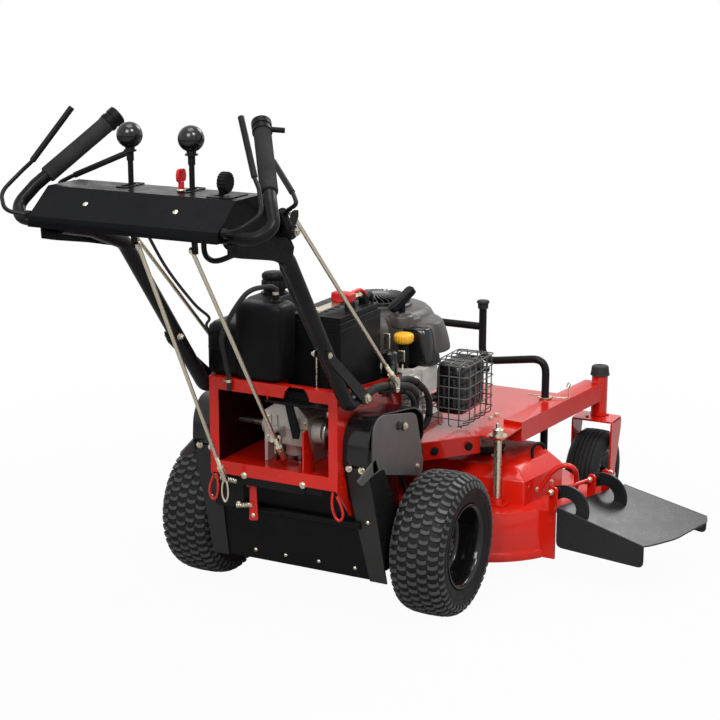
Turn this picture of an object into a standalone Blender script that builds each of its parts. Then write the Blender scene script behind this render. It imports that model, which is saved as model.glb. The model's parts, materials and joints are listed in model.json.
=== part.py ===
"""Walk-behind rotary mower with a twin-blade side-discharge deck, a gear drive and
a swinging chute deflector.

Sizes are metres. Before the last shift X points to the operator's right, Y forward
and Z up, with the origin on the ground under the middle of the rear axle. The parent
empty called mower then moves the origin under the middle of the whole machine.
"""

import math

import bmesh
import bpy
from mathutils import Matrix, Vector

# Where the machine stands
SHIFT = Vector((-0.1558, -0.0626, 0.0))
GAP = 0.0003

# Rear wheels, 13 x 5.00-6
REAR_RADIUS = 0.165
REAR_WIDTH = 0.127
REAR_TRACK = 0.298
AXLE_RADIUS = 0.0095

# Caster wheels, 9 x 3.50-4
CASTER_RADIUS = 0.1145
CASTER_WIDTH = 0.089
CASTER_X = 0.367
CASTER_Y = 0.835
CASTER_TRAIL = 0.035
STEM_RADIUS = 0.0125

# Frame
BOX_HALF = 0.160
BOX_REAR = -0.242
BOX_LOW = 0.334
BOX_TOP = 0.555
PLATE = 0.004
TRAY_FLOOR = 0.517
TRAY_SIDE = -0.0160
FRAME_TOP = 0.345
ARM_SIDE = 0.050
ARM_LOW = 0.305
ARM_SLOPE = 0.0985

# Deck
DECK_LOW = 0.055
DECK_TOP = 0.175
DECK_HUMP = 0.235
DECK_CROWN = 0.260
DECK_WALL = 0.004
RIGHT_DRUM = (0.222, 0.415, 0.237)
LEFT_DRUM = (-0.205, 0.455, 0.235)
BLADE_LENGTH = 0.422
BLADE_Z = 0.088
HANGER = (0.315, 0.272)
LIFT_POST = (0.303, 0.605)

# Discharge chute
CHUTE_HINGE = Vector((0.450, 0.272, 0.225))
CHUTE_AXIS = Vector((0.340, 0.940, 0.0)).normalized()

# Engine and drive
CRANK = (0.0, 0.260)
OIL_FILLER = (0.135, 0.130)
STARTER = (0.100, 0.190)
SHAFT_Y = -0.120
SHAFT_Z = 0.426
GEARBOX_X = (-0.066, 0.044)
CRANK_DRUM = 0.0486
CRANK_PULLEY = 0.045
GEARBOX_PULLEY = 0.060
SPINDLE_PULLEY = 0.050
WHEEL_PULLEY = 0.075
SHAFT_PULLEY = 0.032
DECK_BELT_ROUND_DRUM = 0.058
DECK_BELT_Z = (0.2685, 0.2775)
ENGINE_BELT_Z = (0.3205, 0.3285)
ENGINE_PULLEY_Z = (0.3165, 0.3325)
WHEEL_BELT_X = (0.1940, 0.2020)
WHEEL_PULLEY_X = (0.1900, 0.2060)

# Controls
HANDLE_LOW_X = 0.178
HANDLE_TOP_X = 0.190
CONSOLE_END = 0.2065
KNOB_X = 0.069
KNOB_Z = 1.129
LEVER_PIVOT = (-0.641, 0.965)
ROD_PIN = (-0.635, 0.917)
BLADE_ROD_END = (-0.280, 0.335)
GEAR_ROD_END = (-0.205, 0.380)
GEAR_ARM_PIVOT = (-0.211, 0.428)
DRIVE_PIVOT = (-0.545, 0.953)
HOOK = (-0.521, 0.983)
CONTROL_ROD_END = (-0.067, 0.542)
PRESENCE_PIVOT = (-0.765, 0.982)

COLOURS = {
    "red_paint": ((0.62, 0.020, 0.012, 1.0), 0.28, 0.0),
    "black_paint": ((0.012, 0.012, 0.013, 1.0), 0.35, 0.0),
    "black_plastic": ((0.015, 0.015, 0.016, 1.0), 0.50, 0.0),
    "grey_plastic": ((0.050, 0.048, 0.050, 1.0), 0.42, 0.0),
    "yellow_plastic": ((0.80, 0.42, 0.02, 1.0), 0.45, 0.0),
    "red_plastic": ((0.60, 0.010, 0.012, 1.0), 0.45, 0.0),
    "rubber": ((0.020, 0.019, 0.018, 1.0), 0.85, 0.0),
    "foam": ((0.018, 0.018, 0.019, 1.0), 0.95, 0.0),
    "zinc": ((0.60, 0.58, 0.52, 1.0), 0.35, 1.0),
    "cast_alloy": ((0.42, 0.42, 0.40, 1.0), 0.55, 1.0),
    "bare_steel": ((0.35, 0.34, 0.33, 1.0), 0.40, 1.0),
}


def material(name):
    """The named finish, made once."""
    found = bpy.data.materials.get(name)
    if found:
        return found
    colour, roughness, metallic = COLOURS[name]
    made = bpy.data.materials.new(name)
    made.use_nodes = True
    shader = made.node_tree.nodes["Principled BSDF"]
    shader.inputs["Base Color"].default_value = colour
    shader.inputs["Roughness"].default_value = roughness
    shader.inputs["Metallic"].default_value = metallic
    made.diffuse_color = colour
    return made


def block(low, high):
    """A box between two corners."""
    mesh = bmesh.new()
    bmesh.ops.create_cube(mesh, size=1.0)
    low, high = Vector(low), Vector(high)
    bmesh.ops.scale(mesh, vec=high - low, verts=mesh.verts)
    bmesh.ops.translate(mesh, vec=(low + high) / 2, verts=mesh.verts)
    return mesh


def slab(corners, push):
    """A flat outline in space, pushed along a vector into a closed solid."""
    mesh = bmesh.new()
    face = mesh.faces.new([mesh.verts.new(corner) for corner in corners])
    grown = bmesh.ops.extrude_face_region(mesh, geom=[face])
    moved = [part for part in grown["geom"] if isinstance(part, bmesh.types.BMVert)]
    bmesh.ops.translate(mesh, vec=push, verts=moved)
    bmesh.ops.recalc_face_normals(mesh, faces=mesh.faces)
    return mesh


def prism(outline, axis, start, end):
    """An outline across an axis, carried along it from start to end.

    Across X the outline is (y, z), across Y it is (x, z), across Z it is (x, y).
    """
    corners = [on_axis(axis, start, point) for point in outline]
    push = on_axis(axis, end, outline[0]) - corners[0]
    return slab(corners, push)


def on_axis(axis, along, across):
    place = {"X": (along, *across), "Y": (across[0], along, across[1])}
    return Vector(place.get(axis, (*across, along)))


def frustum(base, base_z, top, top_z):
    """A body whose base outline leads to a top outline with as many points."""
    mesh = bmesh.new()
    low = [mesh.verts.new((x, y, base_z)) for x, y in base]
    high = [mesh.verts.new((x, y, top_z)) for x, y in top]
    mesh.faces.new(low)
    mesh.faces.new(high)
    for step, corner in enumerate(low):
        after = (step + 1) % len(low)
        mesh.faces.new((corner, low[after], high[after], high[step]))
    bmesh.ops.recalc_face_normals(mesh, faces=mesh.faces)
    return mesh


def turned(profile, centre, axis="Z", steps=24):
    """A profile of (radius, height) points turned about an axis through centre."""
    mesh = bmesh.new()
    ring = [mesh.verts.new((radius, 0.0, height)) for radius, height in profile]
    edges = [mesh.edges.new(pair) for pair in zip(ring, ring[1:] + ring[:1])]
    bmesh.ops.spin(
        mesh,
        geom=ring + edges,
        cent=(0.0, 0.0, 0.0),
        axis=(0.0, 0.0, 1.0),
        angle=math.tau,
        steps=steps,
        use_merge=True,
    )
    bmesh.ops.remove_doubles(mesh, verts=mesh.verts, dist=1e-6)
    inside = [face for face in mesh.faces if face.calc_area() < 1e-12]
    bmesh.ops.delete(mesh, geom=inside, context="FACES")
    on_line = [edge for edge in mesh.edges if not edge.link_faces]
    bmesh.ops.delete(mesh, geom=on_line, context="EDGES")
    bmesh.ops.recalc_face_normals(mesh, faces=mesh.faces)
    quarter = math.pi / 2
    turn = {"X": Matrix.Rotation(quarter, 4, "Y"), "Y": Matrix.Rotation(-quarter, 4, "X")}
    bmesh.ops.transform(mesh, matrix=turn.get(axis, Matrix()), verts=mesh.verts)
    bmesh.ops.translate(mesh, vec=centre, verts=mesh.verts)
    return mesh


def drum(start, end, radius, steps=16):
    """A round bar between two points."""
    start, end = Vector(start), Vector(end)
    along = end - start
    mesh = bmesh.new()
    bmesh.ops.create_cone(
        mesh,
        cap_ends=True,
        segments=steps,
        radius1=radius,
        radius2=radius,
        depth=along.length,
    )
    turn = Vector((0.0, 0.0, 1.0)).rotation_difference(along).to_matrix().to_4x4()
    bmesh.ops.transform(mesh, matrix=turn, verts=mesh.verts)
    bmesh.ops.translate(mesh, vec=(start + end) / 2, verts=mesh.verts)
    return mesh


def ball(centre, radius, steps=16):
    mesh = bmesh.new()
    bmesh.ops.create_uvsphere(mesh, u_segments=steps, v_segments=steps // 2, radius=radius)
    bmesh.ops.translate(mesh, vec=centre, verts=mesh.verts)
    return mesh


def rounded_path(points, bend, steps=4):
    """The points joined by straight runs, each inner corner rounded to radius bend."""
    points = [Vector(point) for point in points]
    path = [points[0]]
    for before, corner, after in zip(points, points[1:], points[2:]):
        back, ahead = (before - corner).normalized(), (after - corner).normalized()
        half = back.angle(ahead) / 2
        shorter = min((before - corner).length, (after - corner).length)
        reach = min(bend / math.tan(half), shorter * 0.45)
        first, last = corner + back * reach, corner + ahead * reach
        for step in range(steps + 1):
            share = step / steps
            path.append(first.lerp(corner, share).lerp(corner.lerp(last, share), share))
    return path + [points[-1]]


def rod(points, radius, bend=0.03, resolution=2, steps=4):
    """A round bar or tube bent along its points, made as a bevelled curve."""
    curve = bpy.data.curves.new("rod", "CURVE")
    curve.dimensions = "3D"
    path = rounded_path(points, bend, steps)
    spline = curve.splines.new("POLY")
    spline.points.add(len(path) - 1)
    for point, place in zip(spline.points, path):
        point.co = (*place, 1.0)
    curve.bevel_depth = radius
    curve.bevel_resolution = resolution
    curve.use_fill_caps = True
    holder = bpy.data.objects.new("rod", curve)
    mesh = bmesh.new()
    mesh.from_mesh(holder.to_mesh())
    holder.to_mesh_clear()
    bpy.data.objects.remove(holder)
    bmesh.ops.remove_doubles(mesh, verts=mesh.verts, dist=1e-6)
    bmesh.ops.recalc_face_normals(mesh, faces=mesh.faces)
    return mesh


def circle(centre, radius, steps=24, start=0.0, end=math.tau):
    """Points on a circle; a full turn leaves out the point that would come twice."""
    count = steps if abs(end - start - math.tau) < 1e-9 else steps + 1
    turns = [start + (end - start) * step / steps for step in range(count)]
    return [(centre[0] + radius * math.cos(t), centre[1] + radius * math.sin(t)) for t in turns]


def mirrored(points):
    """An outline of the right half, given from back to front, made whole."""
    return points + [(-x, y) for x, y in reversed(points)]


def side_x(side, points):
    """Points whose X is given for the right side, put on the chosen side."""
    return [(side * x, y, z) for x, y, z in points]


class Body:
    """A moving piece: an empty on its joint axis that its objects hang on."""

    def __init__(self, name, pivot=(0.0, 0.0, 0.0), parent=None):
        self.pivot = Vector(pivot)
        self.empty = bpy.data.objects.new(name + "_pivot", None)
        bpy.context.collection.objects.link(self.empty)
        self.empty.parent = parent.empty if parent else bpy.data.objects["mower"]
        self.empty.location = self.pivot - (parent.pivot if parent else Vector())

    def hold(self, name, mesh):
        bmesh.ops.translate(mesh, vec=-self.pivot, verts=mesh.verts)
        data = bpy.data.meshes.new(name)
        mesh.to_mesh(data)
        mesh.free()
        made = bpy.data.objects.new(name, data)
        bpy.context.collection.objects.link(made)
        made.parent = self.empty
        return made

    def node(self, name, finish, pieces, cuts=(), added=(), bores=(), smooth=35.0):
        """One named solid: the pieces united, the cuts taken away, then the added
        pieces united with it and the bores drilled through all of it."""
        made = self.hold(name, pieces[0])
        made.data.materials.append(material(finish))
        made.data.shade_smooth()
        made.data.set_sharp_from_angle(angle=math.radians(smooth))
        stages = (
            ("UNION", pieces[1:]),
            ("DIFFERENCE", cuts),
            ("UNION", added),
            ("DIFFERENCE", bores),
        )
        for stage, (operation, meshes) in enumerate(stages):
            for count, mesh in enumerate(meshes):
                tool = self.hold(f"{name}_tool_{stage}_{count}", mesh)
                tool.hide_render = True
                tool.display_type = "WIRE"
                step = made.modifiers.new(tool.name, "BOOLEAN")
                step.operation = operation
                step.object = tool
        return made


def arm_face(y, outward=0.0):
    """X of a caster arm's outer face at y, or that far inside it."""
    return 0.334 + (y - 0.374) * ARM_SLOPE - outward


def rear_frame(chassis):
    """The welded box that carries the gearbox, tank and engine, with the battery's tray
    let into the right of its upper sheet."""
    rear, low, top, half = BOX_REAR, BOX_LOW, BOX_TOP, BOX_HALF
    cut_x, cut_r = 0.060, 0.032
    rail_low = 0.527
    lip, floor, rail, roof, post = 0.0012, 0.0018, 0.0008, 0.0014, 0.0022
    pieces = [
        block((lip - half, rear + 0.0002, low + 0.0004), (half - lip, rear + PLATE, low + 0.030)),
        block((floor - half, rear + 0.0020, low + 0.014), (half - floor, 0.020, low + 0.018)),
        block((rail - half, rear + 0.0004, rail_low), (half - rail, rear + PLATE, top - 0.0004)),
        block((roof - half, rear + 0.0016, top - PLATE), (TRAY_SIDE, 0.0610, top - 0.0008)),
        block((TRAY_SIDE - 0.001, rear + 0.0016, top - PLATE), (half - roof, -0.219, top - 0.0008)),
        block((TRAY_SIDE - 0.003, rear + 0.001, rail_low), (TRAY_SIDE + 0.001, 0.0606, top - 0.001)),
        block((TRAY_SIDE - 0.002, rear + 0.0013, TRAY_FLOOR - PLATE), (half - 0.001, 0.0602, TRAY_FLOOR)),
        block((TRAY_SIDE - 0.003, -0.2325, TRAY_FLOOR - 0.003), (TRAY_SIDE + 0.001, 0.0604, rail_low + 0.001)),
    ]
    for side in (-1, 1):
        inner, outer = sorted((side * (half - PLATE), side * half))
        post_in, post_out = sorted((side * (half - 0.022), side * (half - post)))
        post_low = (post_in, rear + 0.0008, low + 0.001)
        pieces.append(block(post_low, (post_out, rear + PLATE - 0.0006, top - 0.001)))
        wall = [
            (rear, low),
            (rear + 0.062, 0.262),
            (rear + 0.075, 0.262),
            (-0.110, FRAME_TOP - 0.045),
            (0.155, FRAME_TOP - 0.045),
            (0.155, FRAME_TOP + 0.001),
            (0.074, 0.395),
            (0.062, 0.525 if side > 0 else top),
            (rear + 0.020, top),
            (rear, top),
        ]
        pieces.append(prism(wall, "X", inner, outer))
    deck_outline = mirrored([
        (half - 0.001, -0.030),
        (half - 0.001, 0.130),
        (0.180, 0.143),
        (0.274, 0.262),
        (0.334, 0.250),
        (0.334, 0.3735),
        (0.284, 0.3785),
        (0.276, 0.4165),
    ])
    pieces.append(prism(deck_outline, "Z", FRAME_TOP - PLATE, FRAME_TOP))
    for side in (-1, 1):
        channel = [(0.1768, 0.1488), (0.1795, 0.1440), (0.2735, 0.2630), (0.2706, 0.2675)]
        channel = [(side * x, y) for x, y in channel]
        pieces.append(prism(channel, "Z", 0.300, FRAME_TOP - 0.001))
    brake_stop = [
        (-0.232, 0.350),
        (-0.186, 0.350),
        (-0.186, 0.380),
        (-0.214, 0.455),
        (-0.232, 0.450),
    ]
    pieces.append(prism(brake_stop, "X", 0.068, 0.072))
    front_lip = block((-0.275, 0.4120, FRAME_TOP - 0.012), (0.275, 0.4158, FRAME_TOP - 0.001))
    pieces.append(front_lip)
    cuts = [
        drum((cut_x, rear - 0.01, rail_low), (cut_x, rear + 0.01, rail_low), cut_r, 20),
        drum((*CRANK, 0.30), (*CRANK, 0.40), 0.030, 20),
        drum((0.0, SHAFT_Y, 0.30), (0.0, SHAFT_Y, 0.40), 0.016, 16),
        drum((-0.2, SHAFT_Y, SHAFT_Z), (0.2, SHAFT_Y, SHAFT_Z), 0.014, 16),
    ]
    for side in (-1, 1):
        hole = (side * HANGER[0], HANGER[1])
        cuts.append(drum((*hole, 0.30), (*hole, 0.40), 0.011, 16))
    chassis.node("rear_frame", "red_paint", pieces, cuts)


def caster_frame(chassis):
    """The two square arms, the caster sleeves and the plate between them."""
    pieces = []
    plate_outline = mirrored([
        (0.281, 0.4185),
        (arm_face(0.4185, 0.045), 0.4186),
        (arm_face(0.700, 0.045), 0.700),
    ])
    pieces.append(prism(plate_outline, "Z", FRAME_TOP - PLATE, FRAME_TOP))
    pieces.append(block((-0.30, 0.696, FRAME_TOP - 0.030), (0.30, 0.700, FRAME_TOP - 0.001)))
    for side in (-1, 1):
        start, end = 0.3745, 0.826
        arm = [
            (arm_face(start, ARM_SIDE), start + 0.005),
            (arm_face(start), start),
            (arm_face(end), end),
            (arm_face(end, ARM_SIDE), end + 0.005),
        ]
        arm = [(side * x, y) for x, y in arm]
        pieces.append(prism(arm, "Z", ARM_LOW, ARM_LOW + ARM_SIDE))
        post = (side * CASTER_X, CASTER_Y)
        pieces.append(drum((*post, 0.2625), (*post, 0.3715), 0.021, 16))
        lift = (side * LIFT_POST[0], LIFT_POST[1])
        pieces.append(drum((*lift, FRAME_TOP - 0.018), (*lift, FRAME_TOP + 0.012), 0.0155, 12))
    cuts = []
    for side in (-1, 1):
        post = (side * CASTER_X, CASTER_Y)
        cuts.append(drum((*post, 0.25), (*post, 0.39), STEM_RADIUS + 0.0010, 12))
        lift = (side * LIFT_POST[0], LIFT_POST[1])
        cuts.append(drum((*lift, 0.30), (*lift, 0.40), 0.0110, 12))
    chassis.node("caster_frame", "red_paint", pieces, cuts)


def rear_axle(chassis):
    """The wheel spindles on one bar, hung from the box by two plates."""
    reach = 0.318
    pieces = [drum((-reach, 0.0, REAR_RADIUS), (reach, 0.0, REAR_RADIUS), AXLE_RADIUS, 16)]
    plate = [
        (-0.045, 0.385),
        (0.045, 0.385),
        (0.045, 0.180),
        (0.020, 0.135),
        (-0.020, 0.135),
        (-0.045, 0.180),
    ]
    for side in (-1, 1):
        inner, outer = sorted((side * (BOX_HALF + GAP), side * (BOX_HALF + 0.0063)))
        pieces.append(prism(plate, "X", inner, outer))
    chassis.node("rear_axle", "black_paint", pieces)


def belt_cover(chassis, side, name):
    """The guard over one wheel belt: a rounded shell and the wide plate outside it."""
    inner, edge, outer = BOX_HALF + 0.0006, 0.2205, 0.2245
    bend = circle((-0.160, 0.440), 0.054, 6, math.radians(150), math.radians(80))
    arch = [(-0.222, 0.392), (-0.214, 0.455)] + bend
    arch += [(0.020, 0.470), (0.062, 0.440), (0.062, 0.392)]
    inside = [(y * 0.985 - 0.0012, z - 0.003) for y, z in arch]
    inside[0] = (inside[0][0] + 0.001, 0.380)
    inside[-1] = (inside[-1][0] - 0.001, 0.380)
    fender = [
        (-0.204, 0.368),
        (-0.202, 0.470),
        (-0.190, 0.490),
        (-0.165, 0.499),
        (0.000, 0.470),
        (0.022, 0.452),
        (0.050, 0.321),
        (0.040, 0.300),
    ]
    low, high = sorted((side * inner, side * edge))
    pieces = [prism(arch, "X", low, high)]
    low, high = sorted((side * (edge - 0.0005), side * outer))
    pieces.append(prism(fender, "X", low, high))
    low, high = sorted((side * (inner - 0.001), side * (edge - 0.003)))
    cuts = [prism(inside, "X", low, high)]
    chassis.node(name, "black_paint", pieces, cuts)


def leg_y(z):
    """Y of the leaning rear legs at a height."""
    return -0.215 + (0.385 - z) * 0.28


def rear_guard(chassis):
    """Sheet that closes the rear below the box: legs, leaning panel and round bar."""
    sheet = [(0.1555, 0.3335), (0.1555, 0.2612), (0.186, 0.2612), (0.224, 0.100)]
    sheet += [(-x, z) for x, z in reversed(sheet)]
    bar_z = 0.243
    bar_y = leg_y(bar_z) - PLATE
    pieces = [
        slab([(x, leg_y(z) + 0.003, z) for x, z in sheet], (0.0, PLATE, 0.0)),
        drum((-0.184, bar_y, bar_z), (0.184, bar_y, bar_z), 0.008, 12),
    ]
    strip = [
        (0.166, 0.385),
        (0.2195, 0.385),
        (0.2225, 0.330),
        (0.2255, 0.098),
        (0.184, 0.098),
        (0.168, 0.300),
    ]
    for side in (-1, 1):
        leg = [(side * x, leg_y(z), z) for x, z in strip]
        pieces.append(slab(leg, (0.0, PLATE, 0.0)))
        flange = [(leg_y(0.380), 0.385), (-0.190, 0.385), (-0.190, 0.300), (leg_y(0.300), 0.300)]
        low, high = sorted((side * (BOX_HALF + 0.0005), side * 0.1685))
        pieces.append(prism(flange, "X", low, high))
    chassis.node("rear_guard", "black_paint", pieces)


def gearbox(chassis):
    """The drive's housing, open below for its pulley shaft and bored for the output shaft."""
    low_x, high_x = GEARBOX_X
    base = BOX_LOW + 0.018 + GAP
    line = (SHAFT_Y, SHAFT_Z)
    body = [
        (low_x, base),
        (low_x + 0.008, base),
        (low_x + 0.008, base + 0.045),
        (high_x - 0.008, base + 0.045),
        (high_x - 0.008, base),
        (high_x, base),
        (high_x, 0.462),
        (0.020, 0.488),
        (-0.040, 0.488),
        (low_x, 0.470),
    ]
    pieces = [
        prism(body, "Y", -0.165, -0.075),
        drum((low_x - 0.020, *line), (high_x + 0.020, *line), 0.024, 16),
        drum((-0.012, SHAFT_Y, base + 0.012), (-0.012, SHAFT_Y, base + 0.060), 0.022, 12),
        block((-0.018, -0.222, GEAR_ARM_PIVOT[1] - 0.012), (-0.010, -0.160, GEAR_ARM_PIVOT[1] + 0.012)),
        drum((-0.012, *GEAR_ARM_PIVOT), (0.001, *GEAR_ARM_PIVOT), 0.004, 12),
    ]
    cuts = [
        drum((-0.12, *line), (0.12, *line), 0.0083, 12),
        drum((0.0, SHAFT_Y, base - 0.01), (0.0, SHAFT_Y, base + 0.056), 0.0068, 12),
    ]
    chassis.node("gearbox", "cast_alloy", pieces, cuts)


def belt_loop(pulleys, inward, steps=20):
    """The outline of a belt round its pulleys: the tight loop about their circles."""
    points = []
    for centre, radius in pulleys:
        points += circle(centre, radius - inward, steps)
    points.sort()
    loop = []
    for run in (points, points[::-1]):
        chain = []
        for point in run:
            while len(chain) > 1 and turns_right(chain[-2], chain[-1], point):
                chain.pop()
            chain.append(point)
        loop += chain[:-1]
    return loop


def turns_right(first, second, third):
    """Whether the way from first through second to third doesn't bend to the left."""
    ahead = (second[0] - first[0], second[1] - first[1])
    onward = (third[0] - second[0], third[1] - second[1])
    return ahead[0] * onward[1] - ahead[1] * onward[0] <= 1e-9


def belt(body, name, axis, start, end, pulleys):
    """A V-belt as a closed band that lies in the grooves of its pulleys."""
    outer = belt_loop(pulleys, 0.0005)
    inner = belt_loop(pulleys, 0.0085)
    spare = 0.002
    middle = prism(inner, axis, start - spare, end + spare)
    body.node(name, "rubber", [prism(outer, axis, start, end)], [middle])


def pulley(centre, axis, start, end, radius, bore=0.0):
    """A grooved wheel: two flanges with a narrower core between."""
    groove = radius - 0.010
    wall = (end - start) * 0.22
    middle = (start + end) / 2
    low, high = start - middle, end - middle
    profile = [
        (bore, low),
        (radius, low),
        (groove, low + wall),
        (groove, high - wall),
        (radius, high),
        (bore, high),
    ]
    return turned(profile, on_axis(axis, middle, centre), axis, 14)


def engine(chassis):
    """The engine's casting with its filler and exhaust stubs, and the cooling shroud."""
    x, y = CRANK
    base = FRAME_TOP + GAP
    block_pieces = [
        drum((x, y, base), (x, y, 0.5250), 0.118, 20),
        block((-0.128, y - 0.128, base), (0.128, y + 0.128, base + 0.016)),
        block((0.040, 0.082, 0.400), (0.168, 0.205, 0.5250)),
        block((-0.168, 0.082, 0.400), (-0.040, 0.205, 0.5250)),
        drum((*OIL_FILLER, 0.500), (*OIL_FILLER, 0.5825), 0.013, 12),
        drum((0.150, 0.180, 0.425), (0.1500, 0.236, 0.425), 0.011, 12),
    ]
    cuts = [drum((x, y, 0.30), (x, y, 0.60), 0.0135, 16)]
    chassis.node("engine_block", "cast_alloy", block_pieces, cuts)
    low, roof = 0.5253, 0.634
    wide = circle((x, y + 0.010), 0.150, 18)
    narrow = circle((x, y + 0.010), 0.118, 18)
    screen = [(0.0, 0.0), (0.074, 0.0), (0.074, 0.018), (0.066, 0.026), (0.0, 0.028)]
    snout_foot = [
        (0.060, 0.178),
        (0.172, 0.178),
        (0.200, 0.200),
        (0.200, 0.250),
        (0.176, 0.292),
        (0.130, 0.330),
        (0.060, 0.334),
    ]
    snout_roof = [
        (0.060, 0.190),
        (0.150, 0.194),
        (0.176, 0.212),
        (0.176, 0.248),
        (0.156, 0.284),
        (0.118, 0.314),
        (0.060, 0.320),
    ]
    shroud = [
        frustum(wide, low, narrow, roof),
        frustum(
            [(0.060, 0.157), (0.182, 0.157), (0.190, 0.168), (0.190, 0.222), (0.060, 0.222)],
            low + 0.0004,
            [(0.060, 0.170), (0.150, 0.170), (0.168, 0.182), (0.168, 0.218), (0.060, 0.218)],
            0.608,
        ),
        frustum(
            snout_foot,
            0.5500,
            snout_roof,
            0.6165,
        ),
        frustum(
            [(-0.200, 0.150), (-0.185, 0.070), (0.025, 0.070), (0.025, 0.262), (-0.170, 0.262)],
            low + 0.0008,
            [(-0.140, 0.160), (-0.120, 0.112), (0.025, 0.112), (0.025, 0.242), (-0.110, 0.242)],
            0.620,
        ),
        turned(screen, (x, y + 0.010, roof - 0.001), "Z", 24),
        drum((*STARTER, 0.560), (*STARTER, 0.640), 0.021, 14),
    ]
    hollow = drum((x, y, low - 0.01), (x, y, 0.612), 0.098, 16)
    chassis.node("engine_shroud", "grey_plastic", shroud, [hollow])


def exhaust(chassis):
    """The muffler on its inlet stub and the wire guard round it."""
    low, high = (0.161, 0.236, 0.390), (0.237, 0.384, 0.510)
    inlet = drum((0.1500, 0.2500, 0.425), (0.170, 0.2600, 0.425), 0.011, 12)
    chassis.node("muffler", "black_paint", [block(low, high), inlet])
    wire = 0.0022
    front, back = 0.392, 0.228
    inner, outer = 0.158, 0.251
    bottom, roof = 0.372, 0.5145
    loops = []
    for z in (bottom + 0.014, 0.447, roof):
        loops.append([
            (inner, back, z),
            (outer, back, z),
            (outer, front, z),
            (inner, front, z),
        ])
    for share in (0.22, 0.78):
        y = back + (front - back) * share
        loops.append([
            (inner, y, roof - 0.0005),
            (outer, y, roof),
            (outer, y, bottom),
            (inner + 0.06, y, FRAME_TOP + wire + GAP),
        ])
    bars = []
    for points in loops:
        for start, end in zip(points, points[1:]):
            bars.append(drum(start, end, wire, 6))
    chassis.node("muffler_guard", "black_paint", bars)


def supply(chassis):
    """Fuel tank and its hose on the box's upper sheet, and the battery in its tray."""
    floor = BOX_TOP + GAP
    neck = (-0.062, -0.120)
    tank = [
        block((-0.178, -0.2295, floor), (-0.018, -0.030, 0.673)),
        block((-0.100, -0.240, floor), (0.020, -0.156, 0.727)),
        frustum(
            [(-0.100, -0.200), (-0.022, -0.200), (-0.022, -0.060), (-0.100, -0.060)],
            0.665,
            [(-0.095, -0.200), (-0.028, -0.200), (-0.028, -0.085), (-0.095, -0.085)],
            0.727,
        ),
        drum((*neck, 0.720), (*neck, 0.7370), 0.024, 20),
        drum((-0.012, -0.200, 0.720), (-0.012, -0.200, 0.7420), 0.009, 12),
    ]
    chassis.node("fuel_tank", "black_plastic", tank)
    seat = (*neck, 0.7373)
    cap = Body("fuel_cap", seat, chassis)
    ribbed = [
        (0.0, 0.0),
        (0.025, 0.0),
        (0.0285, 0.003),
        (0.0285, 0.019),
        (0.026, 0.022),
        (0.027, 0.034),
        (0.022, 0.038),
        (0.0, 0.039),
    ]
    cap.node("fuel_cap", "black_plastic", [turned(ribbed, seat, "Z", 20)])
    hose = [
        (-0.012, -0.200, 0.7430),
        (-0.012, -0.200, 0.7600),
        (-0.020, -0.222, 0.7660),
        (-0.050, -0.262, 0.752),
        (-0.098, -0.280, 0.665),
        (-0.104, -0.262, 0.600),
        (-0.104, -0.249, 0.560),
        (-0.104, -0.249, 0.530),
    ]
    chassis.node("fuel_hose", "rubber", [rod(hose, 0.0055, 0.04, 1, 2)])
    case = [
        block((-0.0125, -0.150, TRAY_FLOOR + GAP), (0.118, 0.046, 0.680)),
        block((-0.010, -0.147, 0.679), (0.1155, 0.0435, 0.694)),
        block((0.085, -0.135, 0.693), (0.105, -0.115, 0.703)),
        block((0.085, 0.012, 0.693), (0.105, 0.032, 0.703)),
    ]
    chassis.node("battery", "black_plastic", case)


def handle(chassis, side, name):
    """One main tube, its brace strap and the spacer that bolts it to the box."""
    tube = [
        (HANDLE_LOW_X, -0.178, 0.538),
        (HANDLE_LOW_X, -0.228, 0.524),
        (HANDLE_TOP_X, -0.502, 0.893),
        (HANDLE_TOP_X, -0.7465, 0.9445),
    ]
    brace = [
        (-0.357, 0.676),
        (-0.336, 0.668),
        (-0.160, 0.536),
        (-0.164, 0.520),
        (-0.188, 0.520),
        (-0.345, 0.650),
    ]
    inner, outer = HANDLE_LOW_X + 0.0145, HANDLE_LOW_X + 0.0205
    low, high = sorted((side * inner, side * outer))
    pieces = [
        rod(side_x(side, tube), 0.016, 0.045, 2, 3),
        prism(brace, "X", low, high),
        drum((side * (BOX_HALF + GAP), -0.178, 0.533), (side * 0.204, -0.178, 0.533), 0.010, 12),
        drum((side * 0.184, -0.344, 0.664), (side * 0.203, -0.344, 0.664), 0.007, 12),
    ]
    chassis.node(name, "black_paint", pieces)


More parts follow.
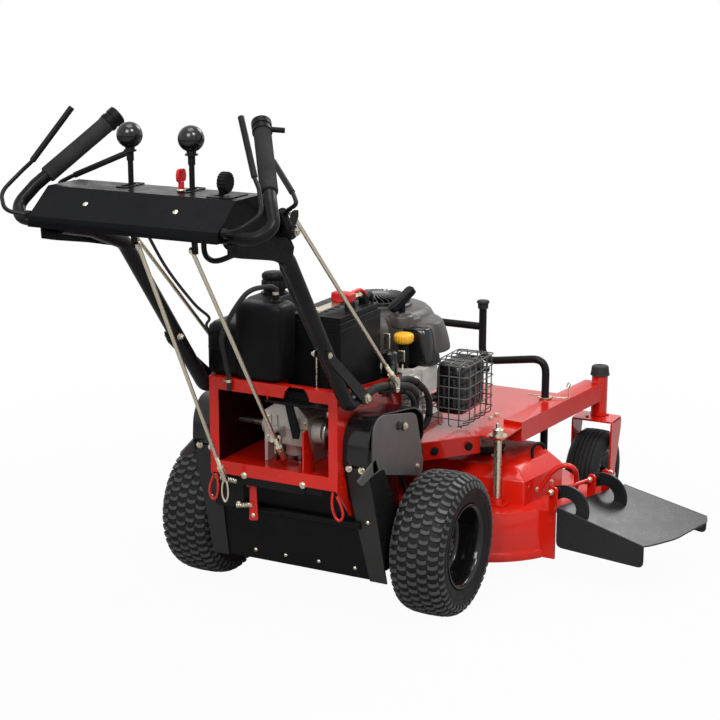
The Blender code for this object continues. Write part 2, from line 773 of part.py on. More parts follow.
def console(chassis):
    """The folded sheet on the handle ends, with the lever shaft inside it."""
    end = CONSOLE_END
    sheet = 0.003
    outside = [(-0.7815, 0.9635), (-0.777, 0.984), (-0.714, 1.033), (-0.618, 1.033), (-0.612, 0.990)]
    inside = [
        (-0.612 - sheet, 0.950),
        (-0.618 - sheet * 0.9, 1.033 - sheet),
        (-0.7128, 1.033 - sheet),
        (-0.774, 0.9825),
        (-0.7775, 0.950),
    ]
    ends = [
        (-0.7815, 0.9635),
        (-0.777, 0.984),
        (-0.714, 1.033),
        (-0.630, 1.033),
        (-0.555, 0.985),
        (-0.505, 0.915),
        (-0.515, 0.885),
        (-0.600, 0.905),
        (-0.700, 0.925),
        (-0.742, 0.935),
        (-0.744, 0.9635),
    ]
    shell = [prism(outside, "X", -end - 0.001, end + 0.001)]
    hollow = [prism(inside, "X", -end, end)]
    for x in (-KNOB_X, KNOB_X):
        slot_low = (x - 0.007, LEVER_PIVOT[0] - 0.028, 1.02)
        hollow.append(block(slot_low, (x + 0.007, LEVER_PIVOT[0] + 0.022, 1.04)))
    hollow.append(block((0.147, -0.695, 1.02), (0.158, -0.650, 1.04)))
    added = [drum((-end - 0.001, *LEVER_PIVOT), (end + 0.001, *LEVER_PIVOT), 0.006, 12)]
    for side in (-1, 1):
        low, high = sorted((side * end, side * (end + sheet)))
        added.append(prism(ends, "X", low, high))
        for pivot, reach in ((DRIVE_PIVOT, 0.238), (PRESENCE_PIVOT, 0.226)):
            added.append(drum((side * (end + 0.001), *pivot), (side * reach, *pivot), 0.005, 12))
    chassis.node("console", "black_paint", shell, hollow, added)


def handlebar(chassis):
    """The bent bar on the console and a foam grip over each of its ends."""
    bar = [
        (0.205, -0.762, 0.9475),
        (0.262, -0.768, 0.9555),
        (0.2960, -0.716, 0.9870),
        (0.2634, -0.684, 1.026),
        (0.167, -0.550, 1.149),
    ]
    whole = side_x(-1, bar)[::-1] + bar
    chassis.node("handlebar", "black_paint", [rod(whole, 0.0127, 0.035, 2, 2)])
    for side, name in ((-1, "grip_left"), (1, "grip_right")):
        bar_end = Vector((side * 0.167, -0.550, 1.149))
        start = Vector((side * 0.254, -0.671, 1.038)).lerp(bar_end, 0.05)
        along = (bar_end - start).normalized()
        foam = drum(start, bar_end + along * 0.010, 0.0170, 16)
        bore = drum(start - along * 0.01, bar_end + along * GAP, 0.0140, 16)
        chassis.node(name, "foam", [foam], [bore])


def lever_hub(x_low, x_high, pivot, radius=0.011):
    return drum((x_low, *pivot), (x_high, *pivot), radius, 10)


def bored(x_low, x_high, pivot, radius):
    return drum((x_low - 0.01, *pivot), (x_high + 0.01, *pivot), radius, 10)


def ball_lever(chassis, name, x, rod_name, rod_end, rod_end_x):
    """A ball-topped lever on the console shaft and the rod that hangs from its arm."""
    lever = Body(name, (x, *LEVER_PIVOT), chassis)
    pivot_y, pivot_z = LEVER_PIVOT
    arm = [
        (pivot_y - 0.006, pivot_z - 0.008),
        (pivot_y + 0.006, pivot_z - 0.008),
        (ROD_PIN[0] + 0.006, ROD_PIN[1] - 0.006),
        (ROD_PIN[0] - 0.006, ROD_PIN[1] - 0.006),
    ]
    pieces = [
        lever_hub(x - 0.006, x + 0.006, LEVER_PIVOT),
        drum((x, pivot_y, pivot_z + 0.0085), (x, pivot_y, KNOB_Z - 0.020), 0.0055, 8),
        ball((x, pivot_y, KNOB_Z), 0.025, 12),
        drum((x, pivot_y, KNOB_Z - 0.034), (x, pivot_y, KNOB_Z - 0.018), 0.009, 8),
        prism(arm, "X", x - 0.003, x + 0.003),
    ]
    cuts = [bored(x - 0.006, x + 0.006, LEVER_PIVOT, 0.0065)]
    lever.node(name, "black_plastic", pieces, cuts)
    inward = -1 if x > 0 else 1
    pin_x = x + inward * 0.0080
    link = Body(rod_name, (x, *ROD_PIN), lever)
    side_low, side_high = sorted((x + inward * 0.0034, x + inward * 0.0125))
    top, low = Vector((pin_x, *ROD_PIN)), Vector((rod_end_x, *rod_end))
    along = (low - top).normalized()
    link_pieces = [
        drum(top, low, 0.0045, 10),
        drum((side_low, *ROD_PIN), (side_high, *ROD_PIN), 0.007, 12),
        drum(low - along * 0.032, low + along * 0.004, 0.0072, 6),
    ]
    link.node(rod_name, "zinc", link_pieces)


def gear_arm(chassis):
    """The shift arm on the gearbox, level with the ball lever's own arm."""
    arm = Body("gear_arm", (-0.006, *GEAR_ARM_PIVOT), chassis)
    low, high = -0.0095, -0.0035
    strap = [
        (GEAR_ARM_PIVOT[0] - 0.006, GEAR_ARM_PIVOT[1] - 0.007),
        (GEAR_ARM_PIVOT[0] + 0.006, GEAR_ARM_PIVOT[1] - 0.007),
        (GEAR_ROD_END[0] + 0.006, GEAR_ROD_END[1] - 0.006),
        (GEAR_ROD_END[0] - 0.006, GEAR_ROD_END[1] - 0.006),
    ]
    pieces = [
        lever_hub(low, high, GEAR_ARM_PIVOT, 0.010),
        prism(strap, "X", low + 0.001, high - 0.001),
    ]
    arm.node("gear_arm", "black_paint", pieces, [bored(low, high, GEAR_ARM_PIVOT, 0.0045)])


def presence_lever(chassis, side, name):
    """The bail over a grip that must be held down for the blades to run."""
    lever = Body(name, (side * 0.218, *PRESENCE_PIVOT), chassis)
    bail = [
        (0.218, -0.7735, 0.9845),
        (0.256, -0.790, 0.992),
        (0.289, -0.757, 1.020),
        (0.262, -0.722, 1.060),
        (0.2482, -0.7121, 1.0750),
        (0.2150, -0.6823, 1.1313),
    ]
    sleeve = [(0.247, -0.711, 1.077), (0.188, -0.658, 1.177)]
    low, high = sorted((side * 0.2125, side * 0.2235))
    pieces = [
        lever_hub(low, high, PRESENCE_PIVOT, 0.0095),
        rod(side_x(side, bail), 0.004, 0.030, 1, 2),
        drum(*side_x(side, sleeve), 0.006, 10),
    ]
    lever.node(name, "black_paint", pieces, [bored(low, high, PRESENCE_PIVOT, 0.0054)])


def drive_lever(chassis, side, name, rod_name):
    """The squeeze lever under a grip, with the control rod hooked to its arm."""
    lever = Body(name, (side * 0.222, *DRIVE_PIVOT), chassis)
    riser = [(-0.534, 0.937), (-0.574, 0.997)]
    grip = [
        (0.2235, -0.563, 0.9805),
        (0.242, -0.586, 1.000),
        (0.274, -0.606, 1.017),
        (0.2530, -0.5836, 1.0309),
        (0.2150, -0.5496, 1.0508),
    ]
    low, high = sorted((side * 0.2125, side * 0.2325))
    sleeve = side_x(side, [(0.249, -0.580, 1.033), (0.165, -0.505, 1.077)])
    hook_plate = [
        (-0.552, 0.962),
        (-0.540, 0.945),
        (-0.515, 0.976),
        (-0.515, 0.990),
        (-0.527, 0.990),
    ]
    plate_low, plate_high = sorted((side * 0.2190, side * 0.2250))
    pieces = [
        lever_hub(low, high, DRIVE_PIVOT, 0.013),
        drum((side * 0.2222, *riser[0]), (side * 0.2222, *riser[1]), 0.0088, 10),
        rod(side_x(side, grip), 0.004, 0.012, 1, 1),
        drum(*sleeve, 0.006, 10),
        prism(hook_plate, "X", plate_low, plate_high),
    ]
    lever.node(name, "black_paint", pieces, [bored(low, high, DRIVE_PIVOT, 0.0055)])
    link = Body(rod_name, (side * 0.215, *HOOK), lever)
    top = Vector((side * 0.2140, *HOOK))
    low_end = Vector((side * 0.2140, *CONTROL_ROD_END))
    along = (low_end - top).normalized()
    low, high = sorted((side * 0.2115, side * 0.2185))
    plate_low, plate_high = sorted((side * 0.2115, side * 0.2165))
    clevis = [
        (-0.079, 0.556),
        (-0.060, 0.560),
        (-0.050, 0.540),
        (-0.056, 0.500),
        (-0.072, 0.500),
    ]
    link_pieces = [
        drum(top, low_end, 0.0045, 10),
        drum((low, *HOOK), (high, *HOOK), 0.007, 12),
        drum(low_end - along * 0.030, low_end + along * 0.002, 0.0065, 6),
        prism(clevis, "X", plate_low, plate_high),
    ]
    link.node(rod_name, "zinc", link_pieces)


def throttle_and_key(chassis):
    """The throttle lever in its slot and the ignition key beside it."""
    throttle = Body("throttle_lever", (0.152, -0.672, 0.995), chassis)
    blade_plate = [(-0.680, 1.003), (-0.664, 1.003), (-0.668, 1.066), (-0.676, 1.066)]
    throttle.node(
        "throttle_lever",
        "black_plastic",
        [
            prism(blade_plate, "X", 0.1505, 0.1535),
            drum((0.1530, -0.672, 1.058), (0.1700, -0.672, 1.058), 0.0195, 20),
            lever_hub(0.1490, 0.1560, (-0.672, 0.998), 0.009),
        ],
    )
    key = Body("ignition_key", (0.054, -0.655, 1.0335), chassis)
    key.node(
        "ignition_key",
        "red_plastic",
        [
            drum((0.054, -0.655, 1.0335), (0.054, -0.655, 1.0480), 0.0065, 12),
            block((0.0515, -0.6660, 1.0450), (0.0565, -0.6440, 1.0700)),
        ],
    )


def oil_cap(chassis):
    seat = (*OIL_FILLER, 0.5828)
    cap = Body("oil_cap", seat, chassis)
    profile = [
        (0.0, 0.0),
        (0.019, 0.0),
        (0.0225, 0.004),
        (0.0225, 0.018),
        (0.019, 0.023),
        (0.0, 0.024),
    ]
    cap.node("oil_cap", "yellow_plastic", [turned(profile, seat, "Z", 20)])


def starter_handle(chassis):
    """The pull grip: a flat bar that leans forward and right over its stub."""
    seat = (*STARTER, 0.6403)
    starter = Body("starter_handle", seat, chassis)
    slope = math.radians(37)
    lean = Vector((math.cos(slope) * 0.5, math.cos(slope) * 0.866, math.sin(slope)))
    across = Vector((-0.866, 0.5, 0.0))
    up = lean.cross(across)
    middle = Vector((*STARTER, 0.6700))
    length, width, thick = lean * 0.038, across * 0.013, up * 0.008
    corners = [
        middle - length - width - thick,
        middle + length - width - thick,
        middle + length + width - thick,
        middle - length + width - thick,
    ]
    stub = drum(seat, (*STARTER, 0.6720), 0.0085, 12)
    starter.node("starter_handle", "black_plastic", [slab(corners, thick * 2), stub])


def skirt_outline(outward):
    """The deck's outline round both blade drums, or that far outside it."""
    outline = []
    for (x, y, radius), start, end in ((RIGHT_DRUM, -125, 90), (LEFT_DRUM, 90, 305)):
        outline += circle((x, y), radius + outward, 14, math.radians(start), math.radians(end))
    return outline


def deck(chassis):
    """The blade housing with its lift bar, hangers and chute hinge rod."""
    body = Body("deck", (0.0, 0.430, 0.0), chassis)
    wall = DECK_WALL
    outlet = [(0.300, 0.286), (0.4585, 0.286), (0.5430, 0.515), (0.300, 0.515)]
    mouth = [(0.290, 0.300), (0.480, 0.300), (0.600, 0.509), (0.290, 0.509)]
    hump = [
        (0.075, 0.325),
        (0.090, 0.280),
        (0.200, 0.278),
        (0.378, 0.291),
        (0.404, 0.476),
        (0.330, 0.560),
        (-0.330, 0.560),
        (-0.404, 0.500),
        (-0.378, 0.318),
        (-0.200, 0.285),
        (-0.090, 0.285),
        (-0.075, 0.325),
    ]
    crown = [
        (0.070, 0.345),
        (0.082, 0.300),
        (0.200, 0.300),
        (0.350, 0.315),
        (0.370, 0.470),
        (0.310, 0.535),
        (-0.310, 0.535),
        (-0.370, 0.480),
        (-0.350, 0.338),
        (-0.200, 0.310),
        (-0.082, 0.306),
        (-0.070, 0.345),
    ]
    low, top = DECK_LOW, DECK_TOP
    pieces = [
        prism(skirt_outline(0.0), "Z", low, top),
        prism(skirt_outline(0.006), "Z", low - 0.0006, low + 0.0200),
    ]
    cuts = [prism(skirt_outline(-wall), "Z", low - 0.010, top - wall)]
    pieces.append(prism(outlet, "Z", low + 0.0006, top - 0.0006))
    pieces.append(frustum(hump, top - 0.01, hump, DECK_HUMP))
    pieces.append(frustum(hump, DECK_HUMP - 0.0005, crown, DECK_CROWN))
    cuts.append(prism(mouth, "Z", low - 0.014, top - wall - 0.0008))
    shrink = [(x * 0.985, 0.420 + (y - 0.420) * 0.965) for x, y in hump]
    cuts.append(frustum(shrink, top - 0.02, shrink, DECK_HUMP - wall))
    bosses = []
    bores = []
    for x, y, _ in (RIGHT_DRUM, LEFT_DRUM):
        bosses.append(drum((x, y, 0.205), (x, y, DECK_CROWN + 0.001), 0.036, 20))
        bores.append(drum((x, y, 0.19), (x, y, 0.29), 0.0135, 16))
    for side in (-1, 1):
        x, y = side * LIFT_POST[0], LIFT_POST[1]
        pieces.append(block((x - 0.016, y - 0.016, top - 0.003), (x + 0.016, y + 0.016, 0.205)))
        x, y = side * HANGER[0], HANGER[1]
        pieces.append(drum((x, y, top - 0.003), (x, y, 0.190), 0.015, 12))
    across = Vector((CHUTE_AXIS.y, -CHUTE_AXIS.x, 0.0))
    ear = [(-0.013, -0.053), (0.005, -0.053), (0.011, -0.012), (0.011, 0.012), (-0.011, 0.012)]
    for along in (0.010, 0.150, 0.204):
        foot = CHUTE_HINGE + CHUTE_AXIS * along
        corners = [foot + across * sideways + Vector((0.0, 0.0, rise)) for sideways, rise in ear]
        pieces.append(slab(corners, CHUTE_AXIS * 0.006))
    hinge_rod = drum(CHUTE_HINGE - CHUTE_AXIS * 0.008, CHUTE_HINGE + CHUTE_AXIS * 0.232, 0.005, 12)
    body.node("deck_shell", "red_paint", pieces, cuts, bosses + [hinge_rod], bores)
    return body


def lift_gear(deck_body):
    """The bent bar that lifts the deck and the two rods that hang its rear."""
    x, y = LIFT_POST
    tube = 0.0095
    post = [(x, y, 0.2053), (x, y, 0.4585), (0.128, y, 0.4325), (0.128, y, 0.5890)]
    pieces = []
    for side in (-1, 1):
        pieces.append(rod(side_x(side, post), tube, 0.030, 1, 3))
        pieces.append(drum((side * 0.128, y, 0.574), (side * 0.128, y, 0.592), 0.0150, 12))
    pieces.append(drum((-0.128, y, 0.523), (0.128, y, 0.523), tube, 12))
    deck_body.node("lift_bar", "black_paint", pieces)
    for side, name in ((-1, "deck_hanger_left"), (1, "deck_hanger_right")):
        x, y = side * HANGER[0], HANGER[1]
        pieces = [
            drum((x, y, 0.1903), (x, y, 0.3650), 0.0095, 12),
            drum((x, y, FRAME_TOP + GAP), (x, y, 0.3490), 0.0200, 12),
            drum((x, y, 0.3485), (x, y, 0.3640), 0.0130, 12),
        ]
        deck_body.node(name, "zinc", pieces)


def chute(deck_body):
    """The deflector, hung outboard of its hinge line by two curved arms."""
    body = Body("chute", CHUTE_HINGE, deck_body)
    sheet = 0.004
    root_x, root_y, root_z = 0.465, 0.280, 0.190
    across = Vector((CHUTE_AXIS.y, -CHUTE_AXIS.x, 0.0))
    fall = 0.07 / 0.1906

    def on_top(x, y):
        outward = Vector((x - root_x, y - root_y, 0.0)).dot(across)
        return Vector((x, y, root_z - fall * outward))

    outline = [
        (0.465, 0.280),
        (0.674, 0.2998),
        (0.684, 0.310),
        (0.7575, 0.540),
        (0.7570, 0.554),
        (0.7480, 0.5585),
        (0.551, 0.518),
    ]
    pieces = [slab([on_top(x, y) for x, y in outline], (0.0, 0.0, -sheet))]
    rear = [on_top(0.465, 0.280), on_top(0.674, 0.2998)]
    low = [rear[1] - Vector((0.0, 0.0, 0.055)), rear[0] - Vector((0.0, 0.0, 0.100))]
    pieces.append(slab(rear + low, (-0.0004, sheet, 0.0)))
    front = [on_top(0.551, 0.518), on_top(0.748, 0.5585)]
    low = [front[1] - Vector((0.0, 0.0, 0.045)), front[0] - Vector((0.0, 0.0, 0.060))]
    pieces.append(slab(front + low, (0.0008, -sheet, 0.0)))
    centre = (0.022, -0.042)
    ring = circle(centre, 0.058, 8, math.radians(132), math.radians(-20))
    ring += circle(centre, 0.027, 8, math.radians(-20), math.radians(132))
    for along in (0.0240, 0.1640):
        start = CHUTE_HINGE + CHUTE_AXIS * along
        arm = [start + Vector((sideways, 0.0, rise)) for sideways, rise in ring]
        pieces.append(slab(arm, CHUTE_AXIS * 0.005))
        pieces.append(drum(start, start + CHUTE_AXIS * 0.005, 0.012, 12))
    bore = drum(CHUTE_HINGE - CHUTE_AXIS * 0.02, CHUTE_HINGE + CHUTE_AXIS * 0.25, 0.0055, 12)
    body.node("chute_deflector", "black_paint", pieces, [bore])


def blades(deck_body):
    """Both blades, each on a spindle with the deck belt's pulley at its top."""
    half = BLADE_LENGTH / 2
    bar = [
        (-half, -0.025),
        (half - 0.012, -0.025),
        (half, -0.010),
        (half, 0.025),
        (-half + 0.012, 0.025),
        (-half, 0.010),
    ]
    for (x, y, _), tag, turn in ((LEFT_DRUM, "left", 35), (RIGHT_DRUM, "right", -20)):
        body = Body(f"blade_{tag}", (x, y, BLADE_Z), deck_body)
        mesh = prism(bar, "Z", BLADE_Z, BLADE_Z + 0.005)
        turned_by = Matrix.Rotation(math.radians(turn), 3, "Z")
        bmesh.ops.rotate(mesh, verts=mesh.verts, matrix=turned_by)
        bmesh.ops.translate(mesh, verts=mesh.verts, vec=(x, y, 0.0))
        bore = drum((x, y, 0.05), (x, y, 0.12), 0.0084, 12)
        body.node(f"blade_{tag}", "bare_steel", [mesh], [bore])
        spindle = [
            drum((x, y, 0.072), (x, y, 0.285), 0.0080, 10),
            drum((x, y, 0.0934), (x, y, 0.2040), 0.0160, 10),
            drum((x, y, 0.2035), (x, y, 0.2650), 0.0125, 10),
            drum((x, y, 0.0720), (x, y, 0.0876), 0.0150, 6),
            pulley((x, y), "Z", 0.2640, 0.2820, SPINDLE_PULLEY),
        ]
        body.node(f"spindle_{tag}", "bare_steel", spindle)


def deck_belt(deck_body):
    pulleys = [
        (RIGHT_DRUM[:2], SPINDLE_PULLEY),
        (LEFT_DRUM[:2], SPINDLE_PULLEY),
        (CRANK, DECK_BELT_ROUND_DRUM),
    ]
    belt(deck_body, "deck_belt", "Z", *DECK_BELT_Z, pulleys)


def power_train(chassis):
    """Crankshaft, gearbox pulley and output shaft, with the belts between them."""
    x, y = CRANK
    rotor = Body("crankshaft", (x, y, 0.300), chassis)
    flywheel = [(0.0, 0.0), (0.088, 0.0), (0.088, 0.024), (0.0, 0.026)]
    rotor.node(
        "crankshaft",
        "bare_steel",
        [
            drum((x, y, 0.2600), (x, y, 0.5900), 0.0125, 12),
            drum((x, y, 0.2640), (x, y, 0.3150), CRANK_DRUM, 20),
            pulley((x, y), "Z", *ENGINE_PULLEY_Z, CRANK_PULLEY),
            turned(flywheel, (x, y, 0.5600), "Z", 20),
        ],
    )
    entry = Body("gearbox_pulley", (0.0, SHAFT_Y, 0.300), chassis)
    entry.node(
        "gearbox_pulley",
        "bare_steel",
        [
            drum((0.0, SHAFT_Y, 0.3130), (0.0, SHAFT_Y, 0.4050), 0.0063, 10),
            pulley((0.0, SHAFT_Y), "Z", *ENGINE_PULLEY_Z, GEARBOX_PULLEY),
        ],
    )
    pair = [((0.0, SHAFT_Y), GEARBOX_PULLEY), (CRANK, CRANK_PULLEY)]
    belt(chassis, "transmission_belt", "Z", *ENGINE_BELT_Z, pair)
    shaft = Body("output_shaft", (0.0, SHAFT_Y, SHAFT_Z), chassis)
    line = (SHAFT_Y, SHAFT_Z)
    shaft.node(
        "output_shaft",
        "bare_steel",
        [
            drum((-0.2100, *line), (0.2100, *line), 0.0078, 12),
            pulley(line, "X", -WHEEL_PULLEY_X[1], -WHEEL_PULLEY_X[0], SHAFT_PULLEY),
            pulley(line, "X", *WHEEL_PULLEY_X, SHAFT_PULLEY),
            drum((0.0780, *line), (0.0840, *line), 0.042, 20),
        ],
    )
    pair = [((0.0, REAR_RADIUS), WHEEL_PULLEY), (line, SHAFT_PULLEY)]
    for side, tag in ((-1, "left"), (1, "right")):
        low, high = sorted(side * edge for edge in WHEEL_BELT_X)
        belt(chassis, f"drive_belt_{tag}", "X", low, high, pair)


def flat_down(band, centre, steps):
    """A ring of steps facets turned half a facet, so that it stands on a flat."""
    turn = Matrix.Rotation(math.pi / steps, 3, "X")
    bmesh.ops.rotate(band, verts=band.verts, cent=centre, matrix=turn)


def rear_wheels(chassis):
    """Each wheel's tyre, and its rim with the belt pulley on the inner side."""
    width = REAR_WIDTH / 2
    steps = 24
    flat = 1.0 / math.cos(math.pi / steps)
    side_wall = [(0.1030, -0.055), (0.128, -width), (0.152, -0.058)]
    tyre = [(0.0925, -0.046)] + side_wall + [(REAR_RADIUS, -0.034)]
    tyre = tyre + [(r, -h) for r, h in reversed(tyre)]
    for side, tag in ((-1, "left"), (1, "right")):
        centre = (side * REAR_TRACK, 0.0, REAR_RADIUS)
        body = Body(f"wheel_{tag}", centre, chassis)
        band = turned([(r * flat, h) for r, h in tyre], centre, "X", steps)
        flat_down(band, centre, steps)
        body.node(f"rear_tyre_{tag}", "rubber", [band])
        rim = [
            (0.0102, -0.1000),
            (0.0220, -0.1000),
            (0.0300, -0.0080),
            (0.0770, -0.0060),
            (0.0830, -0.0480),
            (0.0955, -0.0520),
            (0.0910, -0.0440),
            (0.0910, 0.0440),
            (0.0955, 0.0520),
            (0.0840, 0.0480),
            (0.0790, -0.0010),
            (0.0102, 0.0080),
        ]
        dish = turned([(r, side * h) for r, h in rim], centre, "X", 18)
        low, high = sorted(side * edge for edge in WHEEL_PULLEY_X)
        disc = pulley((0.0, REAR_RADIUS), "X", low, high, WHEEL_PULLEY, 0.0105)
        body.node(f"rear_rim_{tag}", "black_paint", [dish, disc])


def casters(chassis):
    """Each caster's fork with its stem and cap, and the wheel between its legs."""
    steps = 20
    flat = 1.0 / math.cos(math.pi / steps)
    half = CASTER_WIDTH / 2
    outline = [
        (0.0068, -0.0380),
        (0.0240, -0.0340),
        (0.0400, -0.0180),
        (0.0850, -half),
        (0.1060, -0.0360),
        (CASTER_RADIUS * flat, -0.0190),
    ]
    outline = outline + [(r, -h) for r, h in reversed(outline)]
    rear, front = CASTER_Y - 0.052, CASTER_Y + 0.022
    axle_y = CASTER_Y - CASTER_TRAIL
    wide = 0.056
    leg = [
        (rear, 0.2615),
        (front, 0.2615),
        (front, 0.2400),
        (axle_y + 0.018, 0.100),
        (axle_y - 0.018, 0.100),
        (rear, 0.2400),
    ]
    cap = [(0.0, 0.0), (0.024, 0.0), (0.0225, 0.014), (0.016, 0.024), (0.0, 0.026)]
    for side, tag in ((-1, "left"), (1, "right")):
        x, y = side * CASTER_X, CASTER_Y
        centre = (x, axle_y, CASTER_RADIUS)
        fork = Body(f"caster_{tag}", (x, y, 0.2600), chassis)
        axle_end = Vector((0.060, 0.0, 0.0))
        pieces = [
            block((x - wide, rear, 0.2565), (x + wide, front, 0.2615)),
            prism(leg, "X", x - wide, x - wide + 0.005),
            prism(leg, "X", x + wide - 0.005, x + wide),
            drum((x, y, 0.2580), (x, y, 0.3740), STEM_RADIUS, 12),
            turned(cap, (x, y, 0.3720), "Z", 16),
            drum(Vector(centre) - axle_end, Vector(centre) + axle_end, 0.0060, 12),
        ]
        fork.node(f"caster_fork_{tag}", "red_paint", pieces)
        wheel = Body(f"caster_wheel_{tag}", centre, fork)
        band = turned(outline, centre, "X", steps)
        flat_down(band, centre, steps)
        wheel.node(f"caster_wheel_{tag}", "rubber", [band])


def build():
    for old in list(bpy.data.objects):
        bpy.data.objects.remove(old)
    root = bpy.data.objects.new("mower", None)
    bpy.context.collection.objects.link(root)
    root.location = SHIFT
    chassis = Body("chassis")
    rear_frame(chassis)
    caster_frame(chassis)
    rear_axle(chassis)
    belt_cover(chassis, -1, "belt_cover_left")
    belt_cover(chassis, 1, "belt_cover_right")
    rear_guard(chassis)
    gearbox(chassis)
    engine(chassis)
    exhaust(chassis)
    supply(chassis)
    handle(chassis, -1, "handle_left")
    handle(chassis, 1, "handle_right")
    console(chassis)
    handlebar(chassis)
    ball_lever(chassis, "blade_lever", -KNOB_X, "blade_rod", BLADE_ROD_END, -0.100)
    ball_lever(chassis, "gear_lever", KNOB_X, "gear_rod", GEAR_ROD_END, 0.0055)
    gear_arm(chassis)
    for side, tag in ((-1, "left"), (1, "right")):
        presence_lever(chassis, side, f"presence_lever_{tag}")
        drive_lever(chassis, side, f"drive_lever_{tag}", f"control_rod_{tag}")
    throttle_and_key(chassis)
    oil_cap(chassis)
    starter_handle(chassis)
    deck_body = deck(chassis)
    lift_gear(deck_body)
    chute(deck_body)
    blades(deck_body)
    deck_belt(deck_body)
    power_train(chassis)
    rear_wheels(chassis)
    casters(chassis)


build()
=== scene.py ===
"""Looks of a walk-behind mower with a twin-blade side-discharge deck.

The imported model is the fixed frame. Every operator makes one piece or one group of
like pieces over it. Lengths are metres. Places in the code are the machine's own: X to
the operator's right, Y forward, Z up, from the ground under the rear axle's middle;
piece() moves them into the frame.
"""

import json
import math

import bmesh
import bpy
import numpy as np
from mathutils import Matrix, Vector


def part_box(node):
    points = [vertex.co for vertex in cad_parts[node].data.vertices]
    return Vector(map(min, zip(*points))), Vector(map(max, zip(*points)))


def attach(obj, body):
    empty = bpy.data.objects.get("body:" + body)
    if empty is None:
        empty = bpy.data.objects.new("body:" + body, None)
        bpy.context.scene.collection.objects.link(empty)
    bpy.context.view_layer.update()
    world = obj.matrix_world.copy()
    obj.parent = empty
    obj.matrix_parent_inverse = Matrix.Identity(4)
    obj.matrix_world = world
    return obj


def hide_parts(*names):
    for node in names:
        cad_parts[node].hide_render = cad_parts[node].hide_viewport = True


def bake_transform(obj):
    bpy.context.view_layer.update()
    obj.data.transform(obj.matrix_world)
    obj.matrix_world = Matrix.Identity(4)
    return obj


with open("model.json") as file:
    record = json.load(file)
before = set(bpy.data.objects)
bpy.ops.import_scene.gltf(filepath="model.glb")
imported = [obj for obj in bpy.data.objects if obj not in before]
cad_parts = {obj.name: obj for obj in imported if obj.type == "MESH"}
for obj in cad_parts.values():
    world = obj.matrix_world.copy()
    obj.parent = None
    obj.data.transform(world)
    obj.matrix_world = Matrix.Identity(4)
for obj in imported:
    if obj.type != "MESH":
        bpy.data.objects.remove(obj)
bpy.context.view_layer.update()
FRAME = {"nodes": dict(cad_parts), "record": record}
TAU = math.tau
WHITE = (1.0, 1.0, 1.0, 1.0)

bl_info = {
    "name": "Walk-behind mower",
    "version": (1, 0, 0),
    "blender": (4, 5, 0),
    "location": "3D View > Sidebar > Mower",
    "description": "Builds the looks of a walk-behind mower over its packed frame",
    "category": "Object",
}


def machine_origin():
    """The frame's place of the ground point under the rear axle's middle: halfway
    between the two rear tyres."""
    corners = np.array([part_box("rear_tyre_left"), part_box("rear_tyre_right")], float)
    middle = (corners[:, 0].min(axis=0) + corners[:, 1].max(axis=0)) / 2
    return np.array([middle[0], middle[1], 0.0])


ORIGIN = machine_origin()


# Driving sizes
AXLE_HEIGHT = 0.165
REAR_TRACK = 0.298
CASTER_RADIUS = 0.1145
CASTER_AXLE = np.array([0.367, 0.8, 0.1145])
CASTER_POST = np.array([0.367, 0.835])
FRAME_TOP = 0.345
BOX_REAR = -0.242
BOX_TOP = 0.555
TRAY_FLOOR = 0.517
GEARBOX_SIDE = 0.044
CRANK = np.array([0.0, 0.26])
RIGHT_DRUM = (0.222, 0.415, 0.237)
LEFT_DRUM = (-0.205, 0.455, 0.235)
HINGE = np.array([0.45, 0.272, 0.225])
HINGE_LINE = np.array([0.34, 0.94, 0.0]) / math.hypot(0.34, 0.94)
HINGE_ACROSS = np.array([HINGE_LINE[1], -HINGE_LINE[0], 0.0])
RIGHT = np.array([1.0, 0.0, 0.0])
UP = np.array([0.0, 0.0, 1.0])
SHAFT = (-0.12, 0.426)
STARTER = (0.1, 0.19)
FAN = (0.0, 0.27, 0.0)
LIFT_Y = 0.605
LIFT_X = 0.303
HANGER = (0.315, 0.272)
FILLER = (0.135, 0.13)
WHEEL_PULLEY = (0.19, 0.206)
SQUEEZE_PIVOT = (-0.545, 0.953)
QUARTERS = np.radians([45, 135, 225, 315])
KNOB = (0.069, -0.641, 1.129)
CAMERA_PLACE = np.array([1.7972, -3.2863, 1.497])
CAMERA_TARGET = np.array([0.189, -0.193, 0.62])
CAMERA_LENS = 84.68


class MowerSizes(bpy.types.PropertyGroup):
    """Sizes a user would change."""

    edge: bpy.props.FloatProperty(
        name="Sheet edge", description="Rounding of cut sheet edges", default=0.0008, unit="LENGTH"
    )
    lug_height: bpy.props.FloatProperty(
        name="Tyre lugs", description="Height of the turf lugs", default=0.0045, unit="LENGTH"
    )
    cage_wire: bpy.props.FloatProperty(
        name="Cage wire", description="Wire radius of the muffler cage", default=0.0015, unit="LENGTH"
    )
    bolt: bpy.props.FloatProperty(
        name="Bolts", description="Half the width across a common bolt head", default=0.0065, unit="LENGTH"
    )


